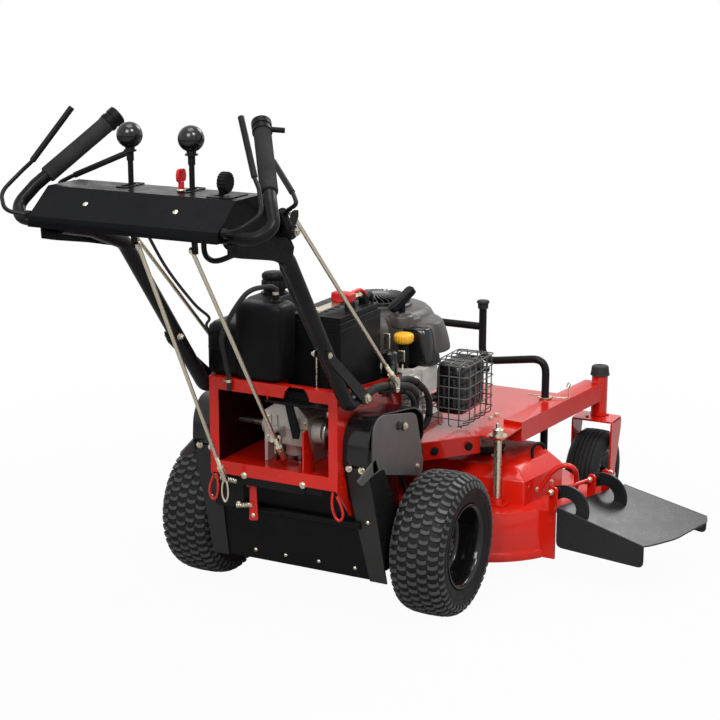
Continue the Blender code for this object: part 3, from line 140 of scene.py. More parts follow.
class MowerColours(bpy.types.PropertyGroup):
    """Colours a user would change."""

    paint: bpy.props.FloatVectorProperty(
        name="Paint", description="Gloss paint of the frame and deck", default=(0.62, 0.012, 0.004),
        subtype="COLOR"
    )
    sheet: bpy.props.FloatVectorProperty(
        name="Sheet", description="Black coat of covers and tubes", default=(0.006, 0.006, 0.0064),
        subtype="COLOR"
    )
    shroud: bpy.props.FloatVectorProperty(
        name="Shroud", description="Moulded engine shroud", default=(0.042, 0.037, 0.034), subtype="COLOR"
    )
    plate: bpy.props.FloatVectorProperty(
        name="Plating", description="Zinc plate on rods and bolts", default=(0.64, 0.56, 0.38),
        subtype="COLOR"
    )
    cap: bpy.props.FloatVectorProperty(
        name="Oil cap", description="Moulded oil cap", default=(0.85, 0.42, 0.01), subtype="COLOR"
    )
    tyre: bpy.props.FloatVectorProperty(
        name="Tyre", description="Tyre rubber", default=(0.0085, 0.0085, 0.0085), subtype="COLOR"
    )


def sizes():
    return bpy.context.scene.mower_sizes


def colours():
    return bpy.context.scene.mower_colours


def fresh_material(name, colour, roughness, metallic):
    """A new node material and its shader, with the plain values set on the sockets."""
    made = bpy.data.materials.new(name)
    made.use_nodes = True
    tree = made.node_tree
    shader = tree.nodes["Principled BSDF"]
    shader.inputs["Base Color"].default_value = (*colour, 1.0)
    shader.inputs["Roughness"].default_value = roughness
    shader.inputs["Metallic"].default_value = metallic
    made.diffuse_color = (*colour, 1.0)
    return made, tree, shader


def join(tree, source, output, target, socket):
    """Joins an output of one node to an input of another."""
    tree.links.new(source.outputs[output], target.inputs[socket])


def node(tree, kind, place, **values):
    """A shader node with its settings and input values."""
    made = tree.nodes.new(kind)
    made.location = place
    for key, value in values.items():
        if hasattr(made, key):
            setattr(made, key, value)
        else:
            made.inputs[key.replace("_", " ")].default_value = value
    return made


def noise(tree, scale, detail=3.0, stretch=(1.0, 1.0, 1.0), place=(-900, 0)):
    """Noise on Object coordinates, which are metres of the finished piece."""
    places = node(tree, "ShaderNodeTexCoord", (place[0] - 400, place[1]))
    mapping = node(tree, "ShaderNodeMapping", (place[0] - 200, place[1]), Scale=stretch)
    made = node(tree, "ShaderNodeTexNoise", place, Scale=scale, Detail=detail)
    join(tree, places, "Object", mapping, "Vector")
    join(tree, mapping, "Vector", made, "Vector")
    return made.outputs["Fac"]


def ramped(tree, fac, low, high, place=(-600, 0)):
    """Maps the middle of a noise onto the range from low to high."""
    made = node(tree, "ShaderNodeMapRange", place, From_Min=0.3, From_Max=0.7, To_Min=low, To_Max=high)
    tree.links.new(fac, made.inputs["Value"])
    return made.outputs["Result"]


def blended(tree, fac, first, second, place=(-400, 200)):
    """A colour that goes from first to second with fac."""
    made = node(tree, "ShaderNodeMix", place, data_type="RGBA")
    made.inputs["A"].default_value = (*first, 1.0)
    made.inputs["B"].default_value = (*second, 1.0)
    tree.links.new(fac, made.inputs["Factor"])
    return made.outputs["Result"]


def dented(tree, shader, height, distance, strength=0.5, place=(-300, -300)):
    """Turns a height pattern into bump on the shader."""
    made = node(tree, "ShaderNodeBump", place, Strength=strength, Distance=distance)
    tree.links.new(height, made.inputs["Height"])
    join(tree, made, "Normal", shader, "Normal")
    return made


def finish(name, colour, other, roughness, metallic=0.0, cloud=14.0, grain=900.0, dent=0.0001, coat=0.0,
           shine=0.5):
    """The common finish: two tones in soft clouds, a roughness that wanders with a
    finer noise, and a fine grain as bump."""
    if name in bpy.data.materials:
        return bpy.data.materials[name]
    made, tree, shader = fresh_material(name, colour, sum(roughness) / 2, metallic)
    clouds = ramped(tree, noise(tree, cloud, place=(-900, 300)), 0.0, 1.0, (-650, 300))
    tree.links.new(blended(tree, clouds, colour, other), shader.inputs["Base Color"])
    wander = noise(tree, cloud * 5.0, 4.0, place=(-900, 0))
    tree.links.new(ramped(tree, wander, *roughness), shader.inputs["Roughness"])
    dented(tree, shader, noise(tree, grain, 2.0, place=(-900, -300)), dent)
    shader.inputs["Specular IOR Level"].default_value = shine
    shader.inputs["Coat Weight"].default_value = coat
    shader.inputs["Coat Roughness"].default_value = 0.08
    return made


def shade(colour, factor):
    return tuple(min(1.0, part * factor) for part in colour)


def gloss_paint():
    """Red gloss enamel: soft orange peel, slightly uneven tone, clear wet top."""
    base = tuple(colours().paint)
    return finish("gloss_paint", base, shade(base, 0.84), (0.17, 0.28), cloud=6.0, grain=240.0, dent=0.0001,
        coat=0.5, shine=0.16)


def black_coat():
    """Semi-gloss powder coat with its fine pebble."""
    base = tuple(colours().sheet)
    return finish("black_coat", base, shade(base, 1.6), (0.24, 0.38), cloud=9.0, grain=700.0, dent=0.00012,
        shine=0.12)


def black_gloss():
    """Glossy black enamel of the rims."""
    base = tuple(colours().sheet)
    return finish("black_gloss", shade(base, 0.8), shade(base, 1.5), (0.1, 0.2), cloud=8.0, grain=260.0,
        shine=0.4)


def black_moulding():
    """Moulded black plastic with a fine grain."""
    return finish("black_moulding", (0.004, 0.004, 0.005), (0.008, 0.008, 0.009), (0.28, 0.44),
        grain=1500.0, shine=0.08)


def shroud_moulding():
    base = tuple(colours().shroud)
    return finish("shroud_moulding", base, shade(base, 1.35), (0.32, 0.46), cloud=10.0, grain=1300.0,
        shine=0.35)


def cap_moulding():
    base = tuple(colours().cap)
    return finish("cap_moulding", base, shade(base, 0.82), (0.35, 0.48), grain=1200.0)


def red_moulding():
    return finish("red_moulding", (0.62, 0.01, 0.012), (0.48, 0.008, 0.01), (0.32, 0.46), grain=1200.0)


def zinc_plate():
    """Zinc plate with its faint yellow and grey clouds."""
    base = tuple(colours().plate)
    return finish("zinc_plate", base, (0.56, 0.54, 0.48), (0.22, 0.38), 1.0, cloud=60.0, grain=800.0,
        dent=0.00006)


def cast_metal():
    """Sand-cast aluminium: coarse pebble and dull."""
    return finish("cast_metal", (0.66, 0.64, 0.59), (0.5, 0.48, 0.44), (0.4, 0.58), 0.3, cloud=30.0,
        grain=520.0, dent=0.0004)


def turned_steel():
    return finish("turned_steel", (0.42, 0.41, 0.4), (0.3, 0.29, 0.28), (0.25, 0.45), 1.0, cloud=50.0,
        grain=1400.0)


def foam_rubber():
    """Closed-cell grip foam: soft, dull and finely pitted."""
    return finish("foam_rubber", (0.014, 0.014, 0.015), (0.026, 0.026, 0.027), (0.8, 0.95), grain=1100.0,
        dent=0.0005, shine=0.2)


def black_rubber():
    return finish("black_rubber", (0.014, 0.014, 0.014), (0.026, 0.025, 0.024), (0.5, 0.7), grain=900.0,
        dent=0.0002, shine=0.2)


def tyre_rubber():
    """Tyre rubber of the carcass, greyer where it is dusty."""
    base = tuple(colours().tyre)
    return finish("tyre_rubber", shade(base, 0.7), shade(base, 1.4), (0.5, 0.72), cloud=26.0, grain=420.0,
        dent=0.0003, shine=0.2)


def lug_rubber_painted_highlight():
    """Smoother rubber of the lugs, which the ground has polished. Its colour, five times the tyre's, is
    painted highlight: the lug tops are lighter than the carcass for the light they catch.
    """
    base = shade(tuple(colours().tyre), 5.0)
    return finish("lug_rubber_painted_highlight", base, shade(base, 1.5), (0.36, 0.5), cloud=30.0, grain=500.0, dent=0.0001,
        shine=0.3)


def cover_sheet():
    """Satin grey-black coat of the belt covers' plates."""
    return finish("cover_sheet", (0.074, 0.072, 0.07), (0.092, 0.09, 0.087), (0.34, 0.46), cloud=7.0,
        grain=600.0, dent=0.0001, shine=0.35)


def weld(points, faces):
    """Corners of one shell that fall together become one; faces keep what is left."""
    keys = np.round(np.asarray(points) / 2e-6).astype(np.int64)
    _, first, inverse = np.unique(keys, axis=0, return_index=True, return_inverse=True)
    inverse = inverse.reshape(-1)
    kept = [tuple(dict.fromkeys(inverse[list(face)].tolist())) for face in faces]
    return np.asarray(points)[first], [face for face in kept if len(face) > 2]


def skin(rings, capped=True, looped=False):
    """The surface through rings of equal count, an array of ring x point x 3: every
    cell of that grid is a face, and the first and last ring are filled, or joined to
    each other when looped."""
    rings = np.asarray(rings, float)
    count, around = rings.shape[:2]
    if looped:
        rings = np.concatenate([rings, rings[:1]])
        count += 1
    row = np.arange(count - 1)[:, None] * around
    here = np.arange(around)[None, :]
    after = (here + 1) % around
    cells = np.stack([row + here, row + after, row + after + around, row + here + around], axis=-1)
    faces = cells.reshape(-1, 4).tolist()
    if capped and not looped:
        faces.append(list(range(around))[::-1])
        faces.append(list(range((count - 1) * around, count * around)))
    return weld(rings.reshape(-1, 3), faces)


def rect(x0, y0, x1, y1):
    """The corners of an upright rectangle."""
    return [(x0, y0), (x1, y0), (x1, y1), (x0, y1)]


def lying(outline, z):
    """A flat outline put at a height."""
    return np.column_stack([outline, np.full(len(outline), z)])


def scaled(outline, grow):
    """An outline scaled about its own middle."""
    middle = outline.mean(axis=0)
    return middle + (outline - middle) * grow


def fluted(steps, wave, centre):
    """A turned shell whose radius carries a wave: a step is (height, radius, share of it)."""
    turn = whole_turn(len(wave))
    rings = [lying(np.column_stack([np.cos(turn), np.sin(turn)]) * (r + wave * share)[:, None], z)
             for z, r, share in steps]
    return skin(np.array(rings) + np.asarray(centre, float))


def whole_turn(steps):
    """Angles once round, without the last, which is the first again."""
    return np.linspace(0.0, TAU, steps, endpoint=False)


def placed(axis, along, first, second):
    """Arrays set out in X, Y, Z from their place along an axis and across it."""
    order = {"X": (along, first, second), "Y": (first, along, second), "Z": (first, second, along)}
    return np.stack(np.broadcast_arrays(*order[axis]), axis=-1)


def lathe(profile, centre=(0.0, 0.0, 0.0), axis="Z", steps=48, looped=False):
    """A profile of (radius, height) swept round an axis: at turn t a point is
    centre + radius * (cos t, sin t) across the axis + height along it."""
    profile = np.asarray(profile, float)
    turn = whole_turn(steps)[None, :]
    radius, height = profile[:, :1], profile[:, 1:]
    rings = placed(axis, height, radius * np.cos(turn), radius * np.sin(turn))
    return skin(rings + np.asarray(centre, float), capped=not looped, looped=looped)


def hoop(profile, centre=(0.0, 0.0, 0.0), axis="Z", steps=48):
    """A lathed ring: its profile closes on itself and stays off the axis."""
    return lathe(profile, centre, axis, steps, looped=True)


def aimed(shell, start, towards):
    """A shell made about +Z at the origin, turned to point from start towards a point."""
    points, faces = shell
    ahead = np.asarray(towards, float) - np.asarray(start, float)
    ahead = ahead / np.linalg.norm(ahead)
    helper = np.array([1.0, 0.0, 0.0]) if abs(ahead[0]) < 0.9 else np.array([0.0, 1.0, 0.0])
    side = np.cross(helper, ahead)
    side = side / np.linalg.norm(side)
    turn = np.stack([side, np.cross(ahead, side), ahead])
    return points @ turn + np.asarray(start, float), faces


def through(first, corners, last, steps):
    """The curve from first to last that bends through each corner: at a share of the way
    it is the blend of the two straight blends, first to corner and corner to last."""
    share = np.linspace(0.0, 1.0, steps + 1)[None, :, None]
    low = first[:, None] * (1 - share) + corners[:, None] * share
    high = corners[:, None] * (1 - share) + last[:, None] * share
    return (low * (1 - share) + high * share).reshape(-1, corners.shape[1])


def rounded(outline, radius, steps=5):
    """A closed flat outline with each corner replaced by the curve that leaves one side
    at radius from the corner and meets the next at radius, bending through the corner."""
    outline = np.asarray(outline, float)
    before, after = np.roll(outline, 1, axis=0), np.roll(outline, -1, axis=0)
    back, ahead = before - outline, after - outline
    reach_back = np.minimum(radius / np.linalg.norm(back, axis=1), 0.48)[:, None]
    reach_ahead = np.minimum(radius / np.linalg.norm(ahead, axis=1), 0.48)[:, None]
    first, last = outline + back * reach_back, outline + ahead * reach_ahead
    return through(first, outline, last, steps)


def prism(outline, axis, start, end):
    """A flat outline across an axis carried along it from start to end."""
    outline = np.asarray(outline, float)
    along = np.array([start, end])[:, None]
    return skin(placed(axis, along, outline[None, :, 0], outline[None, :, 1]))


def side_sheet(outline, side, near, far):
    """An outline of (y, z) as a sheet between two distances from the machine's middle."""
    return prism(outline, "X", *sorted((side * near, side * far)))


def slab(corners, push):
    """An outline in space pushed along a vector."""
    corners = np.asarray(corners, float)
    return skin(np.stack([corners, corners + np.asarray(push, float)]))


def block(low, high):
    """A box between two corners."""
    (x0, y0, z0), (x1, y1, z1) = low, high
    return prism(rect(x0, y0, x1, y1), "Z", z0, z1)


def arc(centre, radius, start, end, steps=16):
    """Points on a circle from one angle to another, in degrees."""
    turn = np.radians(np.linspace(start, end, steps + 1))
    return np.stack([centre[0] + radius * np.cos(turn), centre[1] + radius * np.sin(turn)], axis=-1)


def bent(path, bend, steps=6):
    """Straight runs whose inner corners are rounded to radius bend."""
    path = np.asarray(path, float)
    corners = path[1:-1]
    back, ahead = path[:-2] - corners, path[2:] - corners
    lengths = np.linalg.norm(back, axis=1), np.linalg.norm(ahead, axis=1)
    cosine = np.einsum("ij,ij->i", back, ahead) / (lengths[0] * lengths[1])
    half = np.arccos(np.clip(cosine, -1.0, 1.0)) / 2
    reach = np.minimum.reduce([bend / np.tan(half), lengths[0] * 0.47, lengths[1] * 0.47])
    first = corners + back * (reach / lengths[0])[:, None]
    last = corners + ahead * (reach / lengths[1])[:, None]
    return np.concatenate([path[:1], through(first, corners, last, steps), path[-1:]])


def smooth(path, count=40):
    """A curve through its points: Catmull-Rom, so each stretch leaves along the line
    between the neighbours of its end."""
    path = np.asarray(path, float)
    padded = np.concatenate([path[:1] * 2 - path[1:2], path, path[-1:] * 2 - path[-2:-1]])
    place = np.linspace(0.0, len(path) - 1 - 1e-9, count)
    piece_no = place.astype(int)
    t = (place - piece_no)[:, None]
    a, b, c, d = (padded[piece_no + step] for step in range(4))
    return 0.5 * (2 * b + (c - a) * t + (2 * a - 5 * b + 4 * c - d) * t**2 + (3 * b - 3 * c + d - a) * t**3)


def frames(path, looped=False):
    """Two directions across a path at each point, carried along it without twist."""
    if looped:
        along = np.roll(path, -1, axis=0) - np.roll(path, 1, axis=0)
    else:
        along = np.gradient(path, axis=0)
    along = along / np.linalg.norm(along, axis=1)[:, None]
    helper = np.eye(3)[np.argmin(np.abs(along[0]))]
    side = np.cross(along[0], helper)
    sides = []
    for direction in along:
        side = side - direction * side.dot(direction)
        side = side / np.linalg.norm(side)
        sides.append(side)
    sides = np.array(sides)
    return sides, np.cross(along, sides)


def tube(path, radius, sides=16, looped=False):
    """A round section carried along a path: path point + radius * (cos a, sin a) on the
    two directions across it. The radius may be one number or one for each point."""
    path = np.asarray(path, float)
    first, second = frames(path, looped)
    turn = whole_turn(sides)[None, :, None]
    radius = np.broadcast_to(np.asarray(radius, float), (len(path),))[:, None, None]
    rings = path[:, None] + radius * (first[:, None] * np.cos(turn) + second[:, None] * np.sin(turn))
    return skin(rings, capped=not looped, looped=looped)


def bar(start, end, radius, sides=20):
    """A straight round bar with slightly eased ends."""
    start, end = np.asarray(start, float), np.asarray(end, float)
    length = np.linalg.norm(end - start)
    ease = min(radius * 0.15, length * 0.2)
    profile = [(0, 0), (radius - ease, 0), (radius, ease), (radius, length - ease), (radius - ease, length),
               (0, length)]
    return aimed(lathe(profile, steps=sides), start, end)


def coil(start, end, radius, wire, turns, sides=6):
    """A helical spring between two points: radius across, a turn for each pitch."""
    start, end = np.asarray(start, float), np.asarray(end, float)
    length = np.linalg.norm(end - start)
    turn = np.linspace(0.0, TAU * turns, int(turns * 14) + 1)
    path = np.stack([radius * np.cos(turn), radius * np.sin(turn), turn / turn[-1] * length], axis=-1)
    return aimed(tube(path, wire, sides), start, end)


def bolt(place, towards, half=None, washer=True, nut=False):
    """A hexagon head on its round flange, pointing towards a direction from its place."""
    half = half or sizes().bolt
    place, towards = np.asarray(place, float), np.asarray(towards, float)
    height = half * (0.75 if not nut else 0.95)
    rim = half * 0.94
    head = [(0, 0), (rim, 0), (rim, height * 0.82), (rim * 0.84, height), (0, height)]
    shells = [aimed(lathe(head, steps=6), place, place + towards)]
    if washer:
        flat = [(0, -0.0001), (half * 1.2, -0.0001), (half * 1.2, half * 0.16), (0, half * 0.24)]
        shells.append(aimed(lathe(flat, steps=20), place, place + towards))
    if nut:
        end = [(0, 0), (half * 0.5, 0), (half * 0.5, height * 1.35), (half * 0.42, height * 1.5),
               (0, height * 1.5)]
        shells.append(aimed(lathe(end, steps=12), place, place + towards))
    return shells


def piece(name, shells, finish_made, body="chassis", replaced=(), edge=0.0, angle=35.0):
    """One object from closed shells, moved into the frame, with its faces turned
    outwards, smooth but for corners sharper than angle, and riding on its body."""
    counts = np.cumsum([0] + [len(points) for points, _ in shells])
    points = np.concatenate([points for points, _ in shells]) + ORIGIN
    faces = [tuple(np.add(face, offset).tolist()) for (_, rows), offset in zip(shells, counts)
             for face in rows]
    data = bpy.data.meshes.new(name)
    data.from_pydata(points.tolist(), [], faces)
    solid = bmesh.new()
    solid.from_mesh(data)
    bmesh.ops.recalc_face_normals(solid, faces=solid.faces)
    solid.to_mesh(data)
    solid.free()
    data.shade_smooth()
    data.set_sharp_from_angle(angle=math.radians(angle))
    made = stood(name, data)
    data.materials.append(finish_made)
    dressed(made, edge)
    if body:
        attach(made, body)
    if replaced:
        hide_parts(*([replaced] if isinstance(replaced, str) else replaced))
    return made


def stood(name, data):
    """An object with its data, put into the scene."""
    made = bpy.data.objects.new(name, data)
    bpy.context.collection.objects.link(made)
    return made


def plated(name, shells, body="chassis", edge=0.0):
    """A piece of zinc-plated steel."""
    return piece(name, shells, zinc_plate(), body, edge=edge)


def dressed(made, edge):
    """Eased edges where a width is given."""
    if edge:
        bevel = made.modifiers.new("edges", "BEVEL")
        bevel.width = edge
        bevel.segments = 2
        bevel.limit_method = "ANGLE"
        bevel.angle_limit = math.radians(40)
        bevel.harden_normals = False


def eased(name, finish_made, edge=None, angle=35.0):
    """A copy of a node with its loose triangles merged and its edges eased, standing
    for the node."""
    source = FRAME["nodes"][name]
    data = source.data.copy()
    solid = bmesh.new()
    solid.from_mesh(data)
    bmesh.ops.remove_doubles(solid, verts=solid.verts, dist=2e-6)
    bmesh.ops.dissolve_limit(solid, angle_limit=math.radians(0.6), verts=solid.verts, edges=solid.edges)
    solid.to_mesh(data)
    solid.free()
    data.name = name + "_eased"
    data.materials.clear()
    data.materials.append(finish_made)
    data.shade_smooth()
    data.set_sharp_from_angle(angle=math.radians(angle))
    made = stood(data.name, data)
    dressed(made, sizes().edge if edge is None else edge)
    body = next(body for body, nodes in FRAME["record"]["behaviour"]["bodies"].items() if name in nodes)
    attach(made, body)
    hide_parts(name)
    return made


def repaint(name, finish_made):
    """A node that stays as it is gets a finish."""
    slots = FRAME["nodes"][name].data.materials
    if len(slots):
        for count in range(len(slots)):
            slots[count] = finish_made
    else:
        slots.append(finish_made)


class MOWER_OT_kept(bpy.types.Operator):
    """Gives every node that keeps its own shape its finish"""

    bl_idname = "mower.kept"
    bl_label = "Kept nodes"

    def execute(self, context):
        chosen = {
            "tyre": tyre_rubber,
            "wheel": tyre_rubber,
            "rim": black_gloss,
            "belt": black_rubber,
            "hose": black_rubber,
            "grip": foam_rubber,
            "blade": turned_steel,
            "spindle": turned_steel,
            "shaft": turned_steel,
            "pulley": turned_steel,
            "rod": zinc_plate,
            "hanger": zinc_plate,
            "deck_shell": gloss_paint,
            "frame": gloss_paint,
            "fork": gloss_paint,
            "shroud": shroud_moulding,
            "block": cast_metal,
            "gearbox": cast_metal,
            "oil_cap": cap_moulding,
            "key": red_moulding,
            "tank": black_moulding,
            "battery": black_moulding,
            "cap": black_moulding,
        }
        for name in FRAME["nodes"]:
            matches = [make for word, make in chosen.items() if word in name]
            repaint(name, (matches[0] if matches else black_coat)())
        return {"FINISHED"}


SIDES = ((-1, "left"), (1, "right"))


def flip(points, side):
    """Places given for the right side, put on the chosen side."""
    return np.asarray(points, float) * np.array([side, 1.0, 1.0])


def many(points, faces):
    """One shell from equal copies: an array copy x point x 3 and the faces of one."""
    copies, count = points.shape[:2]
    shifted = (np.arange(copies) * count)[:, None]
    rows = [(shifted + np.array(face)[None, :]).tolist() for face in faces]
    return points.reshape(-1, 3), [face for row in rows for face in row]


def shell_faces(rings, corners):
    """The faces of a capped shell whose points all lie apart."""
    return skin(np.arange(rings * corners * 3.0).reshape(rings, corners, 3))[1]


def tyre_line(half, count=81):
    """A tyre's outline read evenly from one bead over the crown to the other: distance
    from the crown, places (radius, height) and the outward direction at each."""
    whole = np.array([(r, -h) for r, h in half[:0:-1]] + list(half))
    line = smooth(whole, count)
    away = np.concatenate([[0.0], np.cumsum(np.linalg.norm(np.diff(line, axis=0), axis=1))])
    away = away - away[-1] / 2
    slope = np.gradient(line, away, axis=0)
    return away, line, np.stack([slope[:, 1], -slope[:, 0]], axis=-1)


def lugs(centre, line, outline, rows, count, height):
    """Rows of raised blocks: each corner lies on the tyre's outline at its distance from
    the crown, lifted along the outward direction, and turned to its place round it.
    A row is (distance, shift in pitches, direction, width, height share)."""
    away, places, outward = line
    outline = np.asarray(outline, float)
    corners = len(outline)
    crown = places[:, 0].max()
    blocks = []
    for distance, shift, direction, width, share in rows:
        rings = np.stack([outline * 1.06, outline, outline * 0.84])
        lift = np.array([-0.0015, height * share * 0.75, height * share])[:, None]
        across = distance + direction * rings[:, :, 1] * width
        spot = [np.interp(across, away, places[:, part]) for part in (0, 1)]
        push = [np.interp(across, away, outward[:, part]) for part in (0, 1)]
        radius, along = spot[0] + push[0] * lift, spot[1] + push[1] * lift
        turn = (rings[:, :, 0] / crown)[None] + (np.arange(count) + shift)[:, None, None] * TAU / count
        solid = placed("X", along[None], radius[None] * np.cos(turn), radius[None] * np.sin(turn))
        blocks.append(solid.reshape(count, 3 * corners, 3))
    faces = shell_faces(3, corners)
    return many(np.concatenate(blocks) + centre, faces)


class MOWER_OT_rear_wheels(bpy.types.Operator):
    """Turf tyres with interlocking lugs on deep dished rims"""

    bl_idname = "mower.rear_wheels"
    bl_label = "Rear wheels"

    def execute(self, context):
        half = [(0.1602, 0), (0.1596, 0.02), (0.1578, 0.038), (0.1525, 0.0515), (0.143, 0.06)]
        half += [(0.135, 0.0632), (0.118, 0.063), (0.104, 0.0605), (0.0955, 0.053)]
        line = tyre_line(half)
        lug = [(-0.0058, -0.0112), (0.0034, -0.0112), (0.0062, -0.004), (0.0062, 0.004), (0.0034, 0.0112),
               (-0.0058, 0.0112), (-0.0022, 0.004), (-0.0022, -0.004)]
        rows = [(0, 0, 1, 0.96, 1.0)]
        for side in (-1, 1):
            rows += [(side * 0.024, 0.5, 1, 0.96, 1.0), (side * 0.048, 0, 1, 0.96, 0.95)]
            rows += [(side * 0.069, 0.5, 1, 0.7, 0.6)]
        for side, tag in SIDES:
            centre = np.array([side * REAR_TRACK, 0, AXLE_HEIGHT])
            shells = [hoop(line[1], centre, "X", 96)]
            blocks = [lugs(centre, line, lug, rows, 46, sizes().lug_height)]
            piece(f"tyre_lugs_{tag}", blocks, lug_rubber_painted_highlight(), f"wheel_{tag}", angle=28)
            for low, high in ((0.118, 0.1205), (0.106, 0.1085)):
                ring = np.interp([low, high], *np.transpose(half[::-1]))
                bead = [(low, ring[0] - 0.002), (high, ring[1] - 0.002), (high, ring[1] + 0.0008),
                        (low, ring[0] + 0.0008)]
                shells += [hoop([(r, hand * h) for r, h in bead], centre, "X", 96) for hand in (-1, 1)]
            piece(f"turf_tyre_{tag}", shells, tyre_rubber(), f"wheel_{tag}", f"rear_tyre_{tag}",
                  angle=28)
            self.rim(side, tag, centre)
            self.axle_end(side, tag)
        return {"FINISHED"}

    def rim(self, side, tag, centre):
        """Dish, flanges and hub, with the belt pulley behind them, and the valve."""
        dish = [(0.0102, -0.1), (0.022, -0.1), (0.03, -0.008), (0.077, -0.006), (0.083, -0.048)]
        dish += [(0.0955, -0.056), (0.093, -0.048), (0.093, 0.048), (0.0968, 0.059), (0.0935, 0.0605)]
        dish += [(0.088, 0.056), (0.085, 0.042), (0.08, 0.004), (0.074, -0.001), (0.048, 0.001)]
        dish += [(0.034, 0.006), (0.03, 0.018), (0.024, 0.02), (0.0102, 0.02)]
        outline = rounded(dish, 0.003, 3)
        shells = [hoop([(r, side * h) for r, h in outline], centre, "X", 72)]
        low, high = sorted(side * at for at in WHEEL_PULLEY)
        groove = [(0.0105, low), (0.075, low), (0.065, low + 0.004), (0.065, high - 0.004), (0.075, high),
                  (0.0105, high)]
        shells.append(hoop(groove, (0, 0, AXLE_HEIGHT), "X", 48))
        for angle in QUARTERS:
            place = centre + np.array([side * 0.0005, 0.05 * math.cos(angle), 0.05 * math.sin(angle)])
            shells += bolt(place, (side, 0, 0), 0.0068)
        piece(f"rim_{tag}", shells, black_gloss(), f"wheel_{tag}", f"rear_rim_{tag}")
        valve = [bar(centre + (side * 0.002, 0, -0.072), centre + (side * 0.026, 0, -0.067), 0.0033, 12)]
        piece(f"valve_{tag}", valve, black_rubber(), f"wheel_{tag}")

    def axle_end(self, side, tag):
        """The nut and washer that hold a wheel on its spindle."""
        place = np.array([side * 0.3185, 0, AXLE_HEIGHT])
        cap = [(0, 0), (0.015, 0), (0.016, 0.002), (0.015, 0.006), (0.009, 0.0085), (0, 0.009)]
        shells = [aimed(lathe(cap, steps=32), place, place + (side, 0, 0))]
        piece(f"axle_cap_{tag}", shells, black_gloss())


class MOWER_OT_casters(bpy.types.Operator):
    """Front casters: ribbed tyres, rims, forks, stem caps and axle bolts"""

    bl_idname = "mower.casters"
    bl_label = "Casters"

    def execute(self, context):
        for side, tag in SIDES:
            axle = flip(CASTER_AXLE, side)
            self.wheel(axle, tag)
            self.fork(side, tag, axle)
        return {"FINISHED"}

    def wheel(self, axle, tag):
        """Tyre with five ribs on a black hub."""
        half = [(0.062, 0.035), (0.072, 0.0425), (0.085, 0.0445), (0.098, 0.0425), (0.106, 0.037),
                (0.1105, 0.029)]
        ribs = []
        for middle in (0.0225, 0.0115, 0):
            crown = CASTER_RADIUS - (middle / 0.03) ** 2 * 0.0022
            ribs += [(crown - 0.0035, middle + 0.0048), (crown, middle + 0.004), (crown, middle - 0.004),
                     (crown - 0.0035, middle - 0.0048)]
        outline = half + ribs[:-2]
        outline = outline + [(r, -h) for r, h in outline[::-1]]
        tyre = [hoop(outline, axle, "X", 72)]
        piece(f"ribbed_tyre_{tag}", tyre, tyre_rubber(), f"caster_wheel_{tag}", f"caster_wheel_{tag}",
              angle=30)
        hub = [(0.0068, 0.0385), (0.015, 0.0385), (0.0175, 0.023), (0.042, 0.015), (0.054, 0.031),
               (0.06, 0.0375), (0.065, 0.037)]
        hub = rounded(hub + [(r, -h) for r, h in hub[::-1]], 0.0022, 3)
        piece(f"caster_rim_{tag}", [hoop(hub, axle, "X", 56)], black_gloss(), f"caster_wheel_{tag}")

    def fork(self, side, tag, axle):
        """Bent strap fork welded to its stem."""
        x, y = side * CASTER_POST[0], CASTER_POST[1]
        shells = [prism(rounded(rect(x - 0.056, y - 0.052, x + 0.056, y + 0.022), 0.008), "Z", 0.2565,
                  0.2615)]
        leg = [(y - 0.052, 0.261), (y + 0.022, 0.261), (y + 0.022, 0.235), (axle[1] + 0.019, 0.125),
               (axle[1] + 0.019, 0.098), (axle[1] - 0.019, 0.098)]
        leg = rounded(leg + [(axle[1] - 0.019, 0.125), (y - 0.052, 0.235)], 0.014)
        for low in (x - 0.056, x + 0.051):
            shells.append(prism(leg, "X", low, low + 0.005))
        shells.append(bar((x, y, 0.258), (x, y, 0.3725), 0.0125))
        for turn in QUARTERS:
            spot = (x + math.cos(turn) * 0.03, y - 0.01 + math.sin(turn) * 0.027)
            shells += bolt((*spot, 0.2615), UP, 0.005, washer=False)
        piece(f"fork_{tag}", shells, gloss_paint(), f"caster_{tag}", f"caster_fork_{tag}",
              edge=0.0008)
        cap = [(0, 0), (0.0252, 0), (0.0254, 0.003), (0.0244, 0.004), (0.0222, 0.0215), (0.0205, 0.024),
               (0, 0.0255)]
        piece(f"stem_cap_{tag}", [lathe(cap, (x, y, 0.3718), steps=40)], black_rubber(), f"caster_{tag}")
        shells = [bar(axle - (0.059, 0, 0), axle + (0.059, 0, 0), 0.006)]
        for hand in (-1, 1):
            shells += bolt(axle + (hand * 0.0562, 0, 0), (hand, 0, 0), 0.0085, nut=hand < 0)
        plated(f"caster_bolt_{tag}", shells, f"caster_{tag}")


